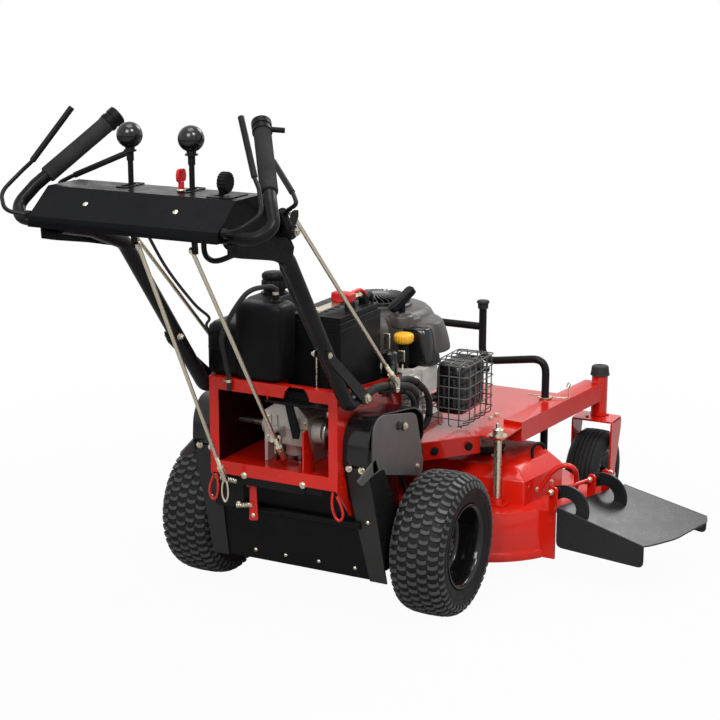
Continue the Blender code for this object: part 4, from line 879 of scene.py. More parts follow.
class MOWER_OT_handles(bpy.types.Operator):
    """Main tubes, braces, bent bar, foam grips and the console sheet"""

    bl_idname = "mower.handles"
    bl_label = "Handles"

    def execute(self, context):
        tube_path = [(0.178, -0.178, 0.538), (0.178, -0.228, 0.524), (0.19, -0.502, 0.893),
            (0.19, -0.61, 0.934), (0.19, -0.706, 0.956)]
        brace = [(-0.357, 0.676), (-0.336, 0.668), (-0.16, 0.536), (-0.164, 0.52), (-0.188, 0.52),
                 (-0.345, 0.65)]
        low, high, near, far = (-0.178, 0.533), (-0.344, 0.664), 0.1925, 0.1985
        for side, tag in SIDES:
            shells = [
                tube(bent(flip(tube_path, side), 0.055, 8), 0.016, 28),
                side_sheet(rounded(brace, 0.008), side, near, far),
                bar((side * 0.1603, *low), (side * near, *low), 0.01),
                bar((side * 0.188, *high), (side * near, *high), 0.009),
            ]
            piece(f"handle_tube_{tag}", shells, black_coat(), "chassis", f"handle_{tag}",
                  edge=0.0006)
            bolts = bolt((side * far, *low), (side, 0, 0), 0.009)
            bolts += bolt((side * far, *high), (side, 0, 0), 0.0055)
            bolts += bolt((side * 0.166, *high), (-side, 0, 0), 0.007, nut=True)
            plated(f"handle_bolts_{tag}", bolts)
        self.bar_and_grips()
        self.console()
        return {"FINISHED"}

    def bar_and_grips(self):
        """The bent bar is one tube with rounded ends; each grip is a sleeve of foam."""
        right = [(0.15, -0.732, 0.968), (0.262, -0.735, 0.969), (0.286, -0.711, 0.99),
                 (0.2634, -0.684, 1.026), (0.167, -0.55, 1.149)]
        whole = np.concatenate([flip(right, -1)[::-1], flip(right, 1)])
        piece("bent_bar", [tube(bent(whole, 0.034, 9), 0.0127, 24)], black_coat(), "chassis", "handlebar")
        for side, tag in SIDES:
            end = flip(right[-1], side)
            start = flip((0.254, -0.671, 1.038), side) * 0.95 + end * 0.05
            along = (end - start) / np.linalg.norm(end - start)
            length = np.linalg.norm(end - start) + 0.01
            sleeve = [(0, 0), (0.015, 0), (0.0166, 0.0015), (0.017, 0.006), (0.0168, length * 0.5)]
            sleeve += [(0.017, length - 0.01), (0.0176, length - 0.0075), (0.0176, length - 0.003),
                       (0.015, length), (0, length + 0.0005)]
            shells = [aimed(lathe(sleeve, steps=36), start, start + along)]
            piece(f"foam_grip_{tag}", shells, foam_rubber(), "chassis", f"grip_{tag}")
            rib = [(0.0165, -0.03), (0.0192, -0.029), (0.0192, -0.022), (0.0178, -0.021), (0.0178, -0.016),
                   (0.0194, -0.015), (0.0194, -0.002), (0.0165, 0)]
            tip = start + along * length
            caps = [aimed(hoop(rib, steps=36), tip, tip + along)]
            foot = tip - along * 0.02 + np.array([side * 0.014, 0.008, 0.0])
            caps.append(bar(foot, foot + np.array([side * 0.024, 0.012, -0.002]), 0.0052, 16))
            piece(f"grip_end_{tag}", caps, black_moulding())

    def console(self):
        """The folded sheet, its screws, cable guide, slot trims and key switch."""
        sheet = finish("console_sheet", (0.0024, 0.0026, 0.0032), (0.004, 0.0042, 0.005), (0.22, 0.34),
            cloud=8.0, grain=700.0, shine=0.08)
        eased("console", sheet, 0.0012)
        screws = []
        for x in (-0.1, 0.1):
            place = np.array([x, -0.7455, 1.0085])
            head = [(0, 0), (0.0055, 0), (0.0052, 0.0016), (0.0035, 0.0026), (0, 0.0029)]
            screws.append(aimed(lathe(head, steps=20), place, place - (0, 0.614, -0.789)))
        plated("console_screws", screws)
        guide = [(0.05, -0.575, 0.944), (0.05, -0.575, 0.905), (0.062, -0.575, 0.89), (0.084, -0.575, 0.89),
                 (0.126, -0.575, 0.908), (0.182, -0.575, 0.932)]
        piece("cable_guide", [tube(smooth(guide, 40), 0.0055, 14)], black_coat())
        trims = []
        for x in (-KNOB[0], KNOB[0]):
            y = KNOB[1]
            frame = rounded(rect(x - 0.0125, y - 0.036, x + 0.0125, y + 0.031), 0.006)
            inner = rounded(rect(x - 0.0068, y - 0.0305, x + 0.0068, y + 0.0255), 0.003)
            trims.append(collar(frame, inner, 1.0328, 1.035))
        throttle_plate = rounded(rect(0.138, -0.706, 0.19, -0.636), 0.007)
        throttle_slot = rounded(rect(0.1465, -0.696, 0.1585, -0.65), 0.003)
        trims.append(collar(throttle_plate, throttle_slot, 1.0328, 1.0348))
        piece("slot_trims", trims, black_moulding(), edge=0.0004)
        ring = [(0.0062, 0), (0.0094, 0), (0.0094, 0.001), (0.0084, 0.003), (0.0062, 0.0032)]
        piece("key_switch", [hoop(ring, (0.054, -0.655, 1.033), steps=32)], zinc_plate())


def collar(outer, inner, low, high):
    """A flat ring between two outlines with as many points, from low to high."""
    outer, inner = np.asarray(outer), np.asarray(inner)
    rings = [lying(edge, z) for edge, z in ((outer, low), (outer, high), (inner, high), (inner, low))]
    return skin(rings, looped=True)


class MOWER_OT_levers(bpy.types.Operator):
    """Ball levers, presence bails, squeeze levers, throttle and key"""

    bl_idname = "mower.levers"
    bl_label = "Levers"

    def execute(self, context):
        for name, x in (("blade_lever", -KNOB[0]), ("gear_lever", KNOB[0])):
            self.ball_lever(name, x)
        for side, tag in SIDES:
            self.presence(side, tag)
            self.squeeze(side, tag)
        self.throttle()
        self.key()
        return {"FINISHED"}

    def ball_lever(self, name, x):
        """A turned ball on a collar and a round stem, over a flat arm on its hub."""
        y, pivot_z, top = KNOB[1], 0.965, KNOB[2]
        turn = np.radians(np.linspace(-68, 90, 24))
        ball = np.stack([0.025 * np.cos(turn), 0.025 * np.sin(turn)], axis=-1).tolist()
        profile = [(0, -0.031), (0.0122, -0.031), (0.0122, -0.0275), (0.0092, -0.027),
                   (0.0092, -0.024)] + ball
        piece(f"{name}_ball", [lathe(profile, (x, y, top), steps=48)], black_gloss(), name)
        arm = rounded([(y - 0.007, pivot_z - 0.004), (y + 0.007, pivot_z - 0.004), (-0.629, 0.91),
            (-0.641, 0.91)], 0.004)
        shells = [
            hoop(rect(0.0065, -0.006, 0.011, 0.006), (x, y, pivot_z), "X", 32),
            bar((x, y, pivot_z + 0.0088), (x, y, 1.082), 0.0053),
            bar((x, y, 1.08), (x, y, top - 0.026), 0.007),
            prism(arm, "X", x - 0.003, x + 0.003),
        ]
        piece(f"{name}_stem", shells, black_coat(), name, name)

    def presence(self, side, tag):
        """A bent wire bail with its sleeve, over the grip."""
        wire = [(0.218, -0.7735, 0.9845), (0.256, -0.7893, 0.992), (0.289, -0.757, 1.02),
                (0.262, -0.722, 1.06)]
        wire += [(0.2482, -0.7121, 1.075), (0.215, -0.6823, 1.1313)]
        low, high = sorted((side * 0.2125, side * 0.2235))
        middle = (low + high) / 2
        hub = rect(0.0054, low - middle, 0.0095, high - middle)
        shells = [
            hoop(hub, (middle, -0.765, 0.982), "X", 32),
            tube(bent(flip(wire, side), 0.03, 7), 0.0041, 16),
            bar(flip((0.247, -0.711, 1.077), side), flip((0.188, -0.658, 1.177), side), 0.006),
        ]
        name = f"presence_lever_{tag}"
        piece(f"bail_{tag}", shells, black_coat(), name, name)

    def squeeze(self, side, tag):
        """A bent wire lever under the grip on a tube riser, with its hook plate."""
        wire = [(0.2235, -0.563, 0.9805), (0.242, -0.586, 1.0), (0.274, -0.606, 1.017),
                (0.253, -0.5836, 1.0309), (0.215, -0.5496, 1.0508)]
        low, high = sorted((side * 0.2125, side * 0.2325))
        middle = (low + high) / 2
        hub = rect(0.0055, low - middle, 0.013, high - middle)
        plate = rounded([(-0.552, 0.962), (-0.54, 0.945), (-0.515, 0.976), (-0.515, 0.99), (-0.527, 0.99)],
            0.004)
        shells = [
            hoop(hub, (middle, *SQUEEZE_PIVOT), "X", 32),
            bar((side * 0.2222, -0.536, 0.94), (side * 0.2222, -0.574, 0.997), 0.0088),
            tube(bent(flip(wire, side), 0.016, 6), 0.0043, 16),
            bar(flip((0.249, -0.58, 1.033), side), flip((0.165, -0.505, 1.077), side), 0.006),
            side_sheet(plate, side, 0.219, 0.225),
        ]
        name = f"drive_lever_{tag}"
        piece(f"squeeze_{tag}", shells, black_coat(), name, name)
        pin = bolt((side * 0.2375, *SQUEEZE_PIVOT), (side, 0, 0), 0.007)
        pin.append(bar((side * 0.2325, *SQUEEZE_PIVOT), (side * 0.2376, *SQUEEZE_PIVOT), 0.005))
        plated(f"pivot_bolt_{tag}", pin)

    def throttle(self):
        """A thin stem with a ribbed round knob."""
        stem = rounded([(-0.68, 1.0), (-0.664, 1.0), (-0.667, 1.066), (-0.677, 1.066)], 0.002)
        turn = whole_turn(72)
        edge = 0.0188 + 0.0007 * np.cos(turn * 18)
        rings = [placed("X", np.full(72, x), -0.672 + edge * share * np.cos(turn),
                 1.058 + edge * share * np.sin(turn))
                 for x, share in ((0.153, 0.9), (0.1542, 1.0), (0.1686, 1.0), (0.17, 0.9))]
        hub = rect(0, 0.149, 0.009, 0.156)
        shells = [prism(stem, "X", 0.1505, 0.1535), skin(rings), lathe(hub, (0, -0.672, 0.998), "X", 28)]
        piece("throttle_knob", shells, black_moulding(), "throttle_lever", "throttle_lever")

    def key(self):
        """A key with a flat head in its switch."""
        head = rounded([(-0.668, 1.05), (-0.642, 1.05), (-0.64, 1.062), (-0.644, 1.074), (-0.666, 1.074),
            (-0.67, 1.062)], 0.005)
        shells = [prism(head, "X", 0.0515, 0.0565), bar((0.054, -0.655, 1.0336), (0.054, -0.655, 1.051),
                  0.0056)]
        piece("key", shells, red_moulding(), "ignition_key", "ignition_key", edge=0.001)


class MOWER_OT_rods(bpy.types.Operator):
    """Plated rods with their end pieces, shift fork, eye and clevises"""

    bl_idname = "mower.rods"
    bl_label = "Rods"

    def execute(self, context):
        for name, x, end in (("blade_rod", -0.061, (-0.1, -0.28, 0.335)),
                ("gear_rod", 0.061, (0.0055, -0.205, 0.38))):
            top = np.array([x, -0.635, 0.917])
            self.rod(name, top, np.array(end), 0.0034)
        fork = [(-0.2, 0.386), (-0.212, 0.386), (-0.214, 0.425), (-0.206, 0.43), (-0.202, 0.425)]
        legs = [prism(rounded(fork, 0.004), "X", x, x + 0.0016) for x in (-0.0126, 0.0004)]
        legs.append(bar((-0.013, -0.206, 0.39), (0.01, -0.206, 0.39), 0.004, 14))
        plated("shift_fork", legs, "gear_rod", edge=0.0005)
        eye = [(-0.1, -0.28, 0.338), (-0.106, -0.281, 0.324), (-0.107, -0.281, 0.3), (-0.1, -0.28, 0.284),
               (-0.093, -0.28, 0.3), (-0.094, -0.28, 0.324)]
        links = [tube(smooth(eye + eye[:1], 40)[:-1], 0.0021, 10, looped=True)]
        plated("blade_rod_eye", links, "blade_rod")
        for side, tag in SIDES:
            name = f"control_rod_{tag}"
            top = flip((0.214, -0.521, 0.983), side)
            end = flip((0.214, -0.067, 0.542), side)
            self.rod(name, top, end, 0.003)
            plate = rounded([(-0.077, 0.552), (-0.061, 0.556), (-0.053, 0.544), (-0.057, 0.521),
                (-0.071, 0.521)], 0.004)
            shells = [side_sheet(plate, side, 0.2115, 0.2165),
                      bar((side * 0.2085, -0.064, 0.529), (side * 0.2195, -0.064, 0.529), 0.003, 14)]
            plated(f"clevis_{tag}", shells, name, edge=0.0006)
        return {"FINISHED"}

    def rod(self, name, top, end, eye_half):
        """A bar with a threaded end in a hexagon sleeve and a turned eye at its top."""
        along = (end - top) / np.linalg.norm(end - top)
        thread = end - along * 0.075
        turns = np.linspace(0, 1.0, 80)[:, None]
        worm = thread + (end - along * 0.03 - thread) * turns
        width = 0.0044 + 0.0004 * np.sin(turns[:, 0] * TAU * 24)
        shells = [
            tube(np.array([top, (top + thread) / 2, thread]), 0.0043, 18),
            tube(worm, width, 14),
            aimed(lathe(rect(0, 0, 0.0074, 0.03), steps=6), end - along * 0.03, end),
            aimed(lathe(rect(0, 0, 0.0078, 0.006), steps=6), end - along * 0.041, end),
            bar(top - RIGHT * eye_half, top + RIGHT * eye_half, 0.0075),
            bar(top - RIGHT * (eye_half + 0.001), top + RIGHT * (eye_half + 0.001), 0.0035, 12),
        ]
        piece(f"{name}_bar", shells, zinc_plate(), name, name)


class MOWER_OT_frame(bpy.types.Operator):
    """Welded rear box, caster arms, axle plates and what is bolted to them"""

    bl_idname = "mower.frame"
    bl_label = "Frame"

    def execute(self, context):
        eased("rear_frame", gloss_paint(), 0.001)
        eased("caster_frame", gloss_paint(), 0.0012)
        eased("rear_axle", black_coat(), 0.001)
        bolts = []
        for x in (-0.074, 0.074):
            bolts += bolt((x, BOX_REAR, 0.3375), (0, -1, 0), 0.0064)
        for x, y in ((-0.118, 0.142), (0.118, 0.142), (-0.118, 0.378), (0.118, 0.378)):
            bolts += bolt((x, y, 0.3613), UP, 0.007)
        for side in (-1, 1):
            for y in (0.405, 0.44):
                bolts += bolt((side * 0.24, y, FRAME_TOP), UP, 0.0065)
            for y in (-0.022, 0.022):
                bolts += bolt((side * 0.1662, y, 0.352), (side, 0, 0), 0.007)
        plated("frame_bolts", bolts)
        # A black flat bar under the rear rail (the first two blocks), then black sheets on, under and at
        # the rear edge of the battery tray's floor: painted shade that darkens the tray's red there.
        strip = [
            block((-0.09, -0.24, 0.315), (0.078, -0.235, 0.3338)),
            block((0.078, -0.238, 0.318), (0.12, -0.2345, 0.3338)),
            block((-0.019, -0.2411, 0.5128), (0.158, 0.056, 0.5139)),
            block((-0.015, -0.24, 0.5171), (0.1555, 0.059, 0.5174)),
            block((-0.019, -0.2411, 0.513), (0.158, -0.24, 0.5176)),
        ]
        piece("rail_bar_and_tray_shade", strip, black_coat(), edge=0.001)
        # A dark red sheet on the inner face of the box's left wall: painted shade that darkens the bay's
        # interior.
        lining = finish("painted_shade_sheet", (0.016, 0.0012, 0.001), (0.024, 0.0016, 0.0014), (0.5, 0.65),
            shine=0.05)
        piece("bay_painted_shade", [block((-0.1556, -0.237, 0.35), (-0.1546, 0.056, 0.55))], lining)
        loop = [(0.147, -0.2392, 0.332), (0.1445, -0.2385, 0.303), (0.15, -0.2355, 0.277),
                (0.161, -0.2345, 0.268), (0.169, -0.2345, 0.281), (0.166, -0.2365, 0.301),
                (0.156, -0.2385, 0.324)]
        loops = [tube(smooth(flip(loop, side), 44), 0.0031, 12) for side in (-1, 1)]
        piece("tie_down_loops", loops, gloss_paint())
        self.channel_holes()
        self.linkage()
        return {"FINISHED"}

    def channel_holes(self):
        """Dark plugs in the slanting channels, and the clips and rings of the lift bar's posts."""
        plugs = []
        for side in (-1, 1):
            for x, y in ((0.1985, 0.1664), (0.2545, 0.2375)):
                place = flip((x + 0.0012, y - 0.001, 0.321), side)
                cap = [(0, 0), (0.01, 0), (0.01, 0.0012), (0.0085, 0.002), (0, 0.002)]
                plugs.append(aimed(lathe(cap, steps=28), place, place + flip((0.785, -0.62, 0), side)))
        piece("channel_plugs", plugs, black_moulding())
        clips = []
        for side in (-1, 1):
            x, y, z = side * LIFT_X, LIFT_Y, 0.361
            wire = [(x - 0.045, y - 0.002, z), (x + 0.03, y + 0.004, z - 0.001),
                    (x + side * 0.012 + 0.046, y + 0.01, z + 0.002)]
            wire += [(x + 0.058, y + 0.012, z + 0.022), (x + 0.062, y + 0.014, z + 0.034),
                     (x + 0.056, y + 0.016, z + 0.038), (x + 0.052, y + 0.014, z + 0.026)]
            clips.append(tube(smooth(np.array(wire), 50), 0.0016, 10))
            ring = rect(0.0112, 0, 0.0185, 0.003)
            clips.append(hoop(ring, (x, y, 0.3571), steps=32))
        plated("lift_pins", clips)

    def linkage(self):
        """The belt-tightening plate under the box with its springs and bracket."""
        plate = rounded([(-0.152, 0.252), (-0.084, 0.262), (-0.084, 0.332), (-0.152, 0.332)], 0.008)
        piece("idler_plate", [prism(plate, "Y", -0.23, -0.2265)], black_coat(),
              edge=0.0008)
        bracket = rounded([(-0.073, 0.228), (-0.051, 0.231), (-0.054, 0.318), (-0.07, 0.318)], 0.005)
        shells = [prism(bracket, "Y", -0.2255, -0.2215),
                  block((-0.079, -0.2262, 0.306), (-0.057, -0.196, 0.312))]
        piece("idler_bracket", shells, gloss_paint(), edge=0.0008)
        springs = [coil((-0.138, -0.2385, 0.3235), (-0.096, -0.2385, 0.32), 0.0052, 0.0012, 10)]
        springs.append(coil((-0.1, -0.234, 0.262), (-0.06, -0.232, 0.269), 0.005, 0.0011, 9))
        springs.append(tube(smooth([(-0.148, -0.235, 0.3293), (-0.154, -0.2345, 0.327),
            (-0.156, -0.233, 0.318)], 12), 0.0012, 8))
        springs += bolt((-0.096, -0.23, 0.264), (0, -1, 0), 0.0058)
        springs += bolt((-0.062, -0.2255, 0.242), (0, -1, 0), 0.0042)
        plated("idler_springs", springs)


def leaning(z):
    """Y of the rear guard's legs at a height: they lean forward as they go down."""
    return -0.215 + (0.385 - z) * 0.28


class MOWER_OT_guards(bpy.types.Operator):
    """Belt covers and rear guard with their carriage bolts"""

    bl_idname = "mower.guards"
    bl_label = "Guards"

    def execute(self, context):
        for side, tag in SIDES:
            self.cover(side, tag)
        flap = finish("flap_black", (0.003, 0.003, 0.003), (0.005, 0.005, 0.005), (0.4, 0.55), shine=0.1)
        eased("rear_guard", flap, 0.0008)
        strip = [(0.166, 0.385), (0.2195, 0.385), (0.2225, 0.33), (0.2255, 0.098), (0.184, 0.098),
                 (0.168, 0.3)]
        faces = [[(side * x, leaning(z) - 0.0008, z) for x, z in strip] for side in (-1, 1)]
        legs = finish("leg_sheet", (0.02, 0.019, 0.019), (0.028, 0.027, 0.026), (0.36, 0.48), cloud=7.0,
            shine=0.2)
        piece("guard_legs", [slab(face, (0, 0.0012, 0)) for face in faces], legs)
        heads = []
        dome = [(0, 0), (0.0046, 0), (0.004, 0.0012), (0.0026, 0.0022), (0, 0.0026)]
        lean = np.array([0.0, -0.963, -0.27])
        for x in (-0.109, -0.03, 0.056, 0.148):
            place = np.array([x, leaning(0.124) + 0.003, 0.124])
            heads.append(aimed(lathe(dome, steps=24), place, place + lean))
        for side in (-1, 1):
            place = np.array([side * 0.2, leaning(0.252) - 0.0008, 0.252])
            heads.append(aimed(lathe(dome, steps=24), place, place + lean))
        plated("carriage_bolts", heads)
        nuts, tabs, flanges = [], [], []
        for side in (-1, 1):
            for x in (0.174, 0.205):
                nuts += bolt((side * x, -0.2165, 0.383), (0, -1, 0.28), 0.0066, nut=True)
                tabs.append(block((side * x - 0.01, -0.2165, 0.389), (side * x + 0.01, -0.212, 0.3935)))
            # Black sheets beside the legs that reach from each leg's outer edge forward towards the tyre
            # and make that whole gap black.
            edge = [(-0.21, 0.37), (-0.15, 0.372), (-0.1, 0.29), (-0.072, 0.13), (-0.142, 0.13)]
            flanges.append(side_sheet(rounded(edge, 0.01, 4), side, 0.222, 0.225))
        piece("leg_flanges", flanges, black_coat(), edge=0.0006)
        plated("guard_nuts", nuts)
        piece("guard_tabs", tabs, gloss_paint(), edge=0.0006)
        return {"FINISHED"}

    def cover(self, side, tag):
        """A rounded arch over the belt and the wide plate bolted outside it."""
        arch = [(-0.222, 0.384), (-0.217, 0.45), (-0.195, 0.485), (-0.15, 0.494), (0.016, 0.47),
                (0.06, 0.444), (0.062, 0.384)]
        inside = [(y * 0.975 - 0.0016, z - 0.0035) for y, z in arch]
        inside[0] = (inside[0][0], 0.3838)
        inside[-1] = (inside[-1][0], 0.3838)
        outline = rounded(arch, 0.02, 6)
        lining = rounded(inside, 0.018, 6)
        near, far = side * 0.1606, side * 0.2205
        shells = [skin([placed("X", np.full(len(edge), x), edge[:, 0], edge[:, 1])
                  for edge, x in ((outline, near), (outline, far), (lining, far), (lining, near))],
                  looped=True)]
        plate = [(-0.202, 0.372), (-0.2, 0.462), (-0.186, 0.484), (-0.158, 0.4935), (0.0, 0.46),
                 (0.016, 0.449), (0.053, 0.33), (0.044, 0.3)]
        piece(f"cover_shell_{tag}", shells, black_gloss(), "chassis", f"belt_cover_{tag}",
              edge=0.0008)
        folded = [(-0.188, 0.404), (-0.174, 0.375), (-0.25, 0.36), (-0.27, 0.376)]
        outlines = (rounded(plate, 0.016, 5), rounded(folded, 0.005, 4))
        plates = [side_sheet(outline, side, 0.22, 0.2245) for outline in outlines]
        piece(f"cover_plate_{tag}", plates, cover_sheet(), edge=0.0008)
        parts = bolt((side * 0.2275, -0.052, 0.443), (side, 0, 0), 0.0075)
        parts += bolt((side * 0.2245, 0.018, 0.33), (side, 0, 0), 0.006)
        plated(f"cover_bolts_{tag}", parts)
        spacer = [bar((side * 0.224, -0.055, 0.443), (side * 0.228, -0.055, 0.443), 0.0095, 28)]
        spacer += bolt((side * 0.2245, -0.079, 0.45), (side, 0, 0), 0.0085)
        piece(f"cover_spacer_{tag}", spacer, black_rubber())


class MOWER_OT_drive(bpy.types.Operator):
    """Gearbox with its bolts, ribs and stop strap, shift arm, and output shaft with its brake disc"""

    bl_idname = "mower.drive"
    bl_label = "Drive"

    def execute(self, context):
        eased("gearbox", cast_metal(), 0.0025)
        eased("gear_arm", black_coat(), 0.0006)
        bolts = []
        for x, z in ((-0.058, 0.455), (0.036, 0.45), (-0.058, 0.41), (0.036, 0.405)):
            bolts += bolt((x, -0.165, z), (0, -1, 0), 0.005)
        bolts += bolt((-0.03, -0.12, 0.488), UP, 0.007, washer=False)
        plated("gearbox_bolts", bolts)
        ribs = [block((x - 0.0015, -0.17, 0.412), (x + 0.0015, -0.1645, 0.462))
                for x in (-0.048, -0.032, 0.008, 0.022)]
        ribs.append(block((-0.062, -0.169, 0.433), (0.04, -0.1645, 0.436)))
        ribs.append(hoop([(0.0085, -0.022), (0.029, -0.022), (0.029, -0.014), (0.027, 0), (0.0085, 0)],
                    (GEARBOX_SIDE + 0.022, *SHAFT), "X", 36))
        piece("gearbox_ribs", ribs, cast_metal(), edge=0.0008)
        strap = [(0.002, -0.201, 0.522), (0.02, -0.201, 0.522), (0.044, -0.201, 0.442),
                 (0.04, -0.201, 0.425), (0.026, -0.201, 0.425)]
        piece("stop_strap", [slab(strap, (0, 0.006, 0))], black_coat(), edge=0.0012)
        disc = [(0.0082, -0.003), (0.042, -0.003), (0.0425, -0.002), (0.0425, 0.002), (0.042, 0.003),
                (0.0082, 0.003)]
        shells = [hoop(disc, (0.081, *SHAFT), "X", 64), bar((-0.21, *SHAFT), (0.21, *SHAFT), 0.0078, 28)]
        shells.append(hoop([(0.008, -0.009), (0.019, -0.009), (0.02, -0.006), (0.02, 0.01), (0.008, 0.01)],
            (0.093, *SHAFT), "X", 36))
        for side in (-1, 1):
            low, high = sorted(side * at for at in WHEEL_PULLEY)
            groove = [(0.008, low), (0.032, low), (0.022, low + 0.0035), (0.022, high - 0.0035),
                      (0.032, high), (0.008, high)]
            shells.append(hoop(groove, (0, *SHAFT), "X", 40))
        piece("brake_shaft", shells, turned_steel(), "output_shaft", "output_shaft")
        return {"FINISHED"}


class MOWER_OT_supply(bpy.types.Operator):
    """Fuel tank, cap, vent and hose, battery with strap, rods, boot and leads"""

    bl_idname = "mower.supply"
    bl_label = "Supply"

    def execute(self, context):
        self.tank()
        self.battery()
        return {"FINISHED"}

    def tank(self):
        """A blow-moulded tank: rounded lobes over one another with a sloped top."""
        floor = BOX_TOP + 0.0004
        lobes = [((-0.178, -0.2295), (-0.018, -0.03), 0.673, 0.02),
                 ((-0.1, -0.24), (0.02, -0.156), 0.727, 0.016)]
        shells = []
        for (x0, y0), (x1, y1), top, soft in lobes:
            outline = rounded(rect(x0, y0, x1, y1), 0.026, 6)
            heights = [(floor, 0.012), (floor + 0.004, 0.004), (floor + 0.012, 0), (top - soft, 0),
                       (top - soft * 0.45, soft * 0.14), (top - soft * 0.1, soft * 0.5), (top, soft * 1.1)]
            span = np.abs(outline - outline.mean(axis=0)).max(axis=0)
            rings = [lying(scaled(outline, 1 - inset / span), z) for z, inset in heights]
            shells.append(skin(rings))
        low = rounded(rect(-0.102, -0.202, -0.02, -0.058), 0.022, 6)
        high = rounded(rect(-0.095, -0.2, -0.028, -0.088), 0.022, 6)
        rings = [lying(low, 0.66), lying(low * 0.35 + high * 0.65, 0.712)]
        rings += [lying(high, 0.7245), lying(scaled(high, 0.92), 0.7272)]
        shells.append(skin(rings))
        neck, vent = (-0.062, -0.12), (-0.012, -0.2)
        shells.append(lathe([(0, 0.715), (0.03, 0.722), (0.03, 0.73), (0.0245, 0.731), (0.024, 0.7369),
            (0, 0.7369)], (*neck, 0), steps=48))
        shells.append(lathe([(0, 0.722), (0.011, 0.722), (0.0105, 0.73), (0.008, 0.733), (0.008, 0.742),
            (0, 0.742)], (*vent, 0), steps=28))
        piece("tank", shells, black_moulding(), "chassis", "fuel_tank")
        seam = rounded(rect(-0.1788, -0.2303, -0.0172, -0.0292), 0.027, 6)
        piece("tank_seam", [prism(seam, "Z", 0.6145, 0.6165)], black_moulding(), edge=0.0006)
        wave = 0.0007 * np.sign(np.cos(whole_turn(96) * 16))
        steps = [(0, 0.0255, 0), (0.0015, 0.028, 1), (0.018, 0.028, 1), (0.0205, 0.0262, 0),
                 (0.0225, 0.0258, 0), (0.0255, 0.0272, 1), (0.0335, 0.0268, 1), (0.0375, 0.0225, 0),
                 (0.039, 0.012, 0)]
        cap = fluted(steps, wave, (*neck, 0.7373))
        piece("tank_cap", [cap], black_moulding(), "fuel_cap", "fuel_cap", angle=50)
        route = [(*vent, 0.743), (*vent, 0.756), (-0.022, -0.224, 0.764), (-0.052, -0.262, 0.75),
                 (-0.098, -0.28, 0.665), (-0.104, -0.262, 0.6), (-0.104, -0.249, 0.56),
                 (-0.104, -0.249, 0.53)]
        piece("vent_hose", [tube(smooth(route, 60), 0.0055, 16)], black_rubber(), "chassis", "fuel_hose")
        band = rect(0.0055, -0.003, 0.0068, 0.003)
        clamps = [hoop(band, (*vent, 0.747), steps=24)]
        clamps.append(aimed(hoop(band, steps=24), (-0.104, -0.25, 0.552), (-0.104, -0.2495, 0.652)))
        clamps.append(bar((-0.104, -0.256, 0.552), (-0.116, -0.25, 0.552), 0.0022, 10))
        clamps.append(bar((-0.104, -0.243, 0.545), (-0.104, -0.234, 0.545), 0.003, 12))
        plated("hose_clamps", clamps)

    def battery(self):
        """The case with its lid lines and posts, held down by a strap on two rods."""
        x0, x1, y0, y1 = -0.0125, 0.118, -0.15, 0.046
        floor = TRAY_FLOOR + 0.0004
        case = rounded(rect(x0, y0, x1, y1), 0.004, 3)
        lid = rounded(rect(x0 - 0.0004, y0 - 0.0006, x1 + 0.0005, y1 + 0.0006), 0.004, 3)
        cover = rounded(rect(x0 + 0.0035, y0 + 0.004, x1 - 0.0035, y1 - 0.004), 0.004, 3)
        shells = [prism(case, "Z", floor, 0.66), prism(lid, "Z", 0.6615, 0.665),
                  prism(lid, "Z", 0.6665, 0.68), prism(case * 0.999, "Z", 0.658, 0.679),
                  prism(cover, "Z", 0.679, 0.6925)]
        for step in range(6):
            y = y0 + 0.03 + step * 0.027
            shells.append(lathe([(0, 0), (0.0085, 0), (0.0085, 0.0015), (0, 0.0018)], (0.05, y, 0.692),
                steps=24))
        for y in (-0.045, 0.022):
            shells.append(block((0.078, y - 0.009, 0.69), (0.096, y + 0.009, 0.7072)))
        piece("battery_case", shells, black_moulding(), "chassis", "battery", edge=0.0008)
        strap = [(0.05, 0), (0.076, 0), (0.076, 0.0022), (0.074, 0.0022), (0.074, 0.002), (0.052, 0.002),
                 (0.052, 0.0022), (0.05, 0.0022)]
        rows = [(-0.152, 0.7045), (-0.147, 0.705), (0.043, 0.705), (0.048, 0.7045)]
        rings = [placed("Y", y, np.array([x for x, _ in strap]), np.array([z + rise for _, rise in strap]))
                 for y, z in rows]
        shells = [skin(rings)]
        for y in (-0.156, 0.052):
            path = [(0.063, y, 0.508), (0.063, y, 0.64), (0.063, y, 0.712)]
            shells.append(tube(np.array(path), 0.0026, 14))
            shells += bolt((0.063, y, 0.7058), UP, 0.0058, nut=True)
            shells.append(block((0.052, min(y, y * 0.93) - 0.002, 0.7035),
                (0.074, max(y, y * 0.93) + 0.002, 0.7058)))
        shells += bolt((0.063, -0.156, 0.5172), UP, 0.006, nut=True)
        plated("battery_strap", shells)
        boot = [block((0.046, -0.06, 0.707), (0.097, -0.032, 0.729))]
        piece("red_boot", boot, red_moulding(), edge=0.0045)
        lead = [(0.08, -0.04, 0.718), (0.082, -0.018, 0.724), (0.084, 0.01, 0.724), (0.08, 0.04, 0.708),
                (0.066, 0.075, 0.672)]
        piece("red_lead", [tube(smooth(lead, 48), 0.0045, 16)], red_moulding())
        dark = [(0.095, 0.022, 0.706), (0.094, 0.04, 0.712), (0.088, 0.062, 0.69), (0.084, 0.07, 0.64),
                (0.09, 0.075, 0.56)]
        piece("dark_lead", [tube(smooth(dark, 40), 0.0042, 16)], black_rubber())


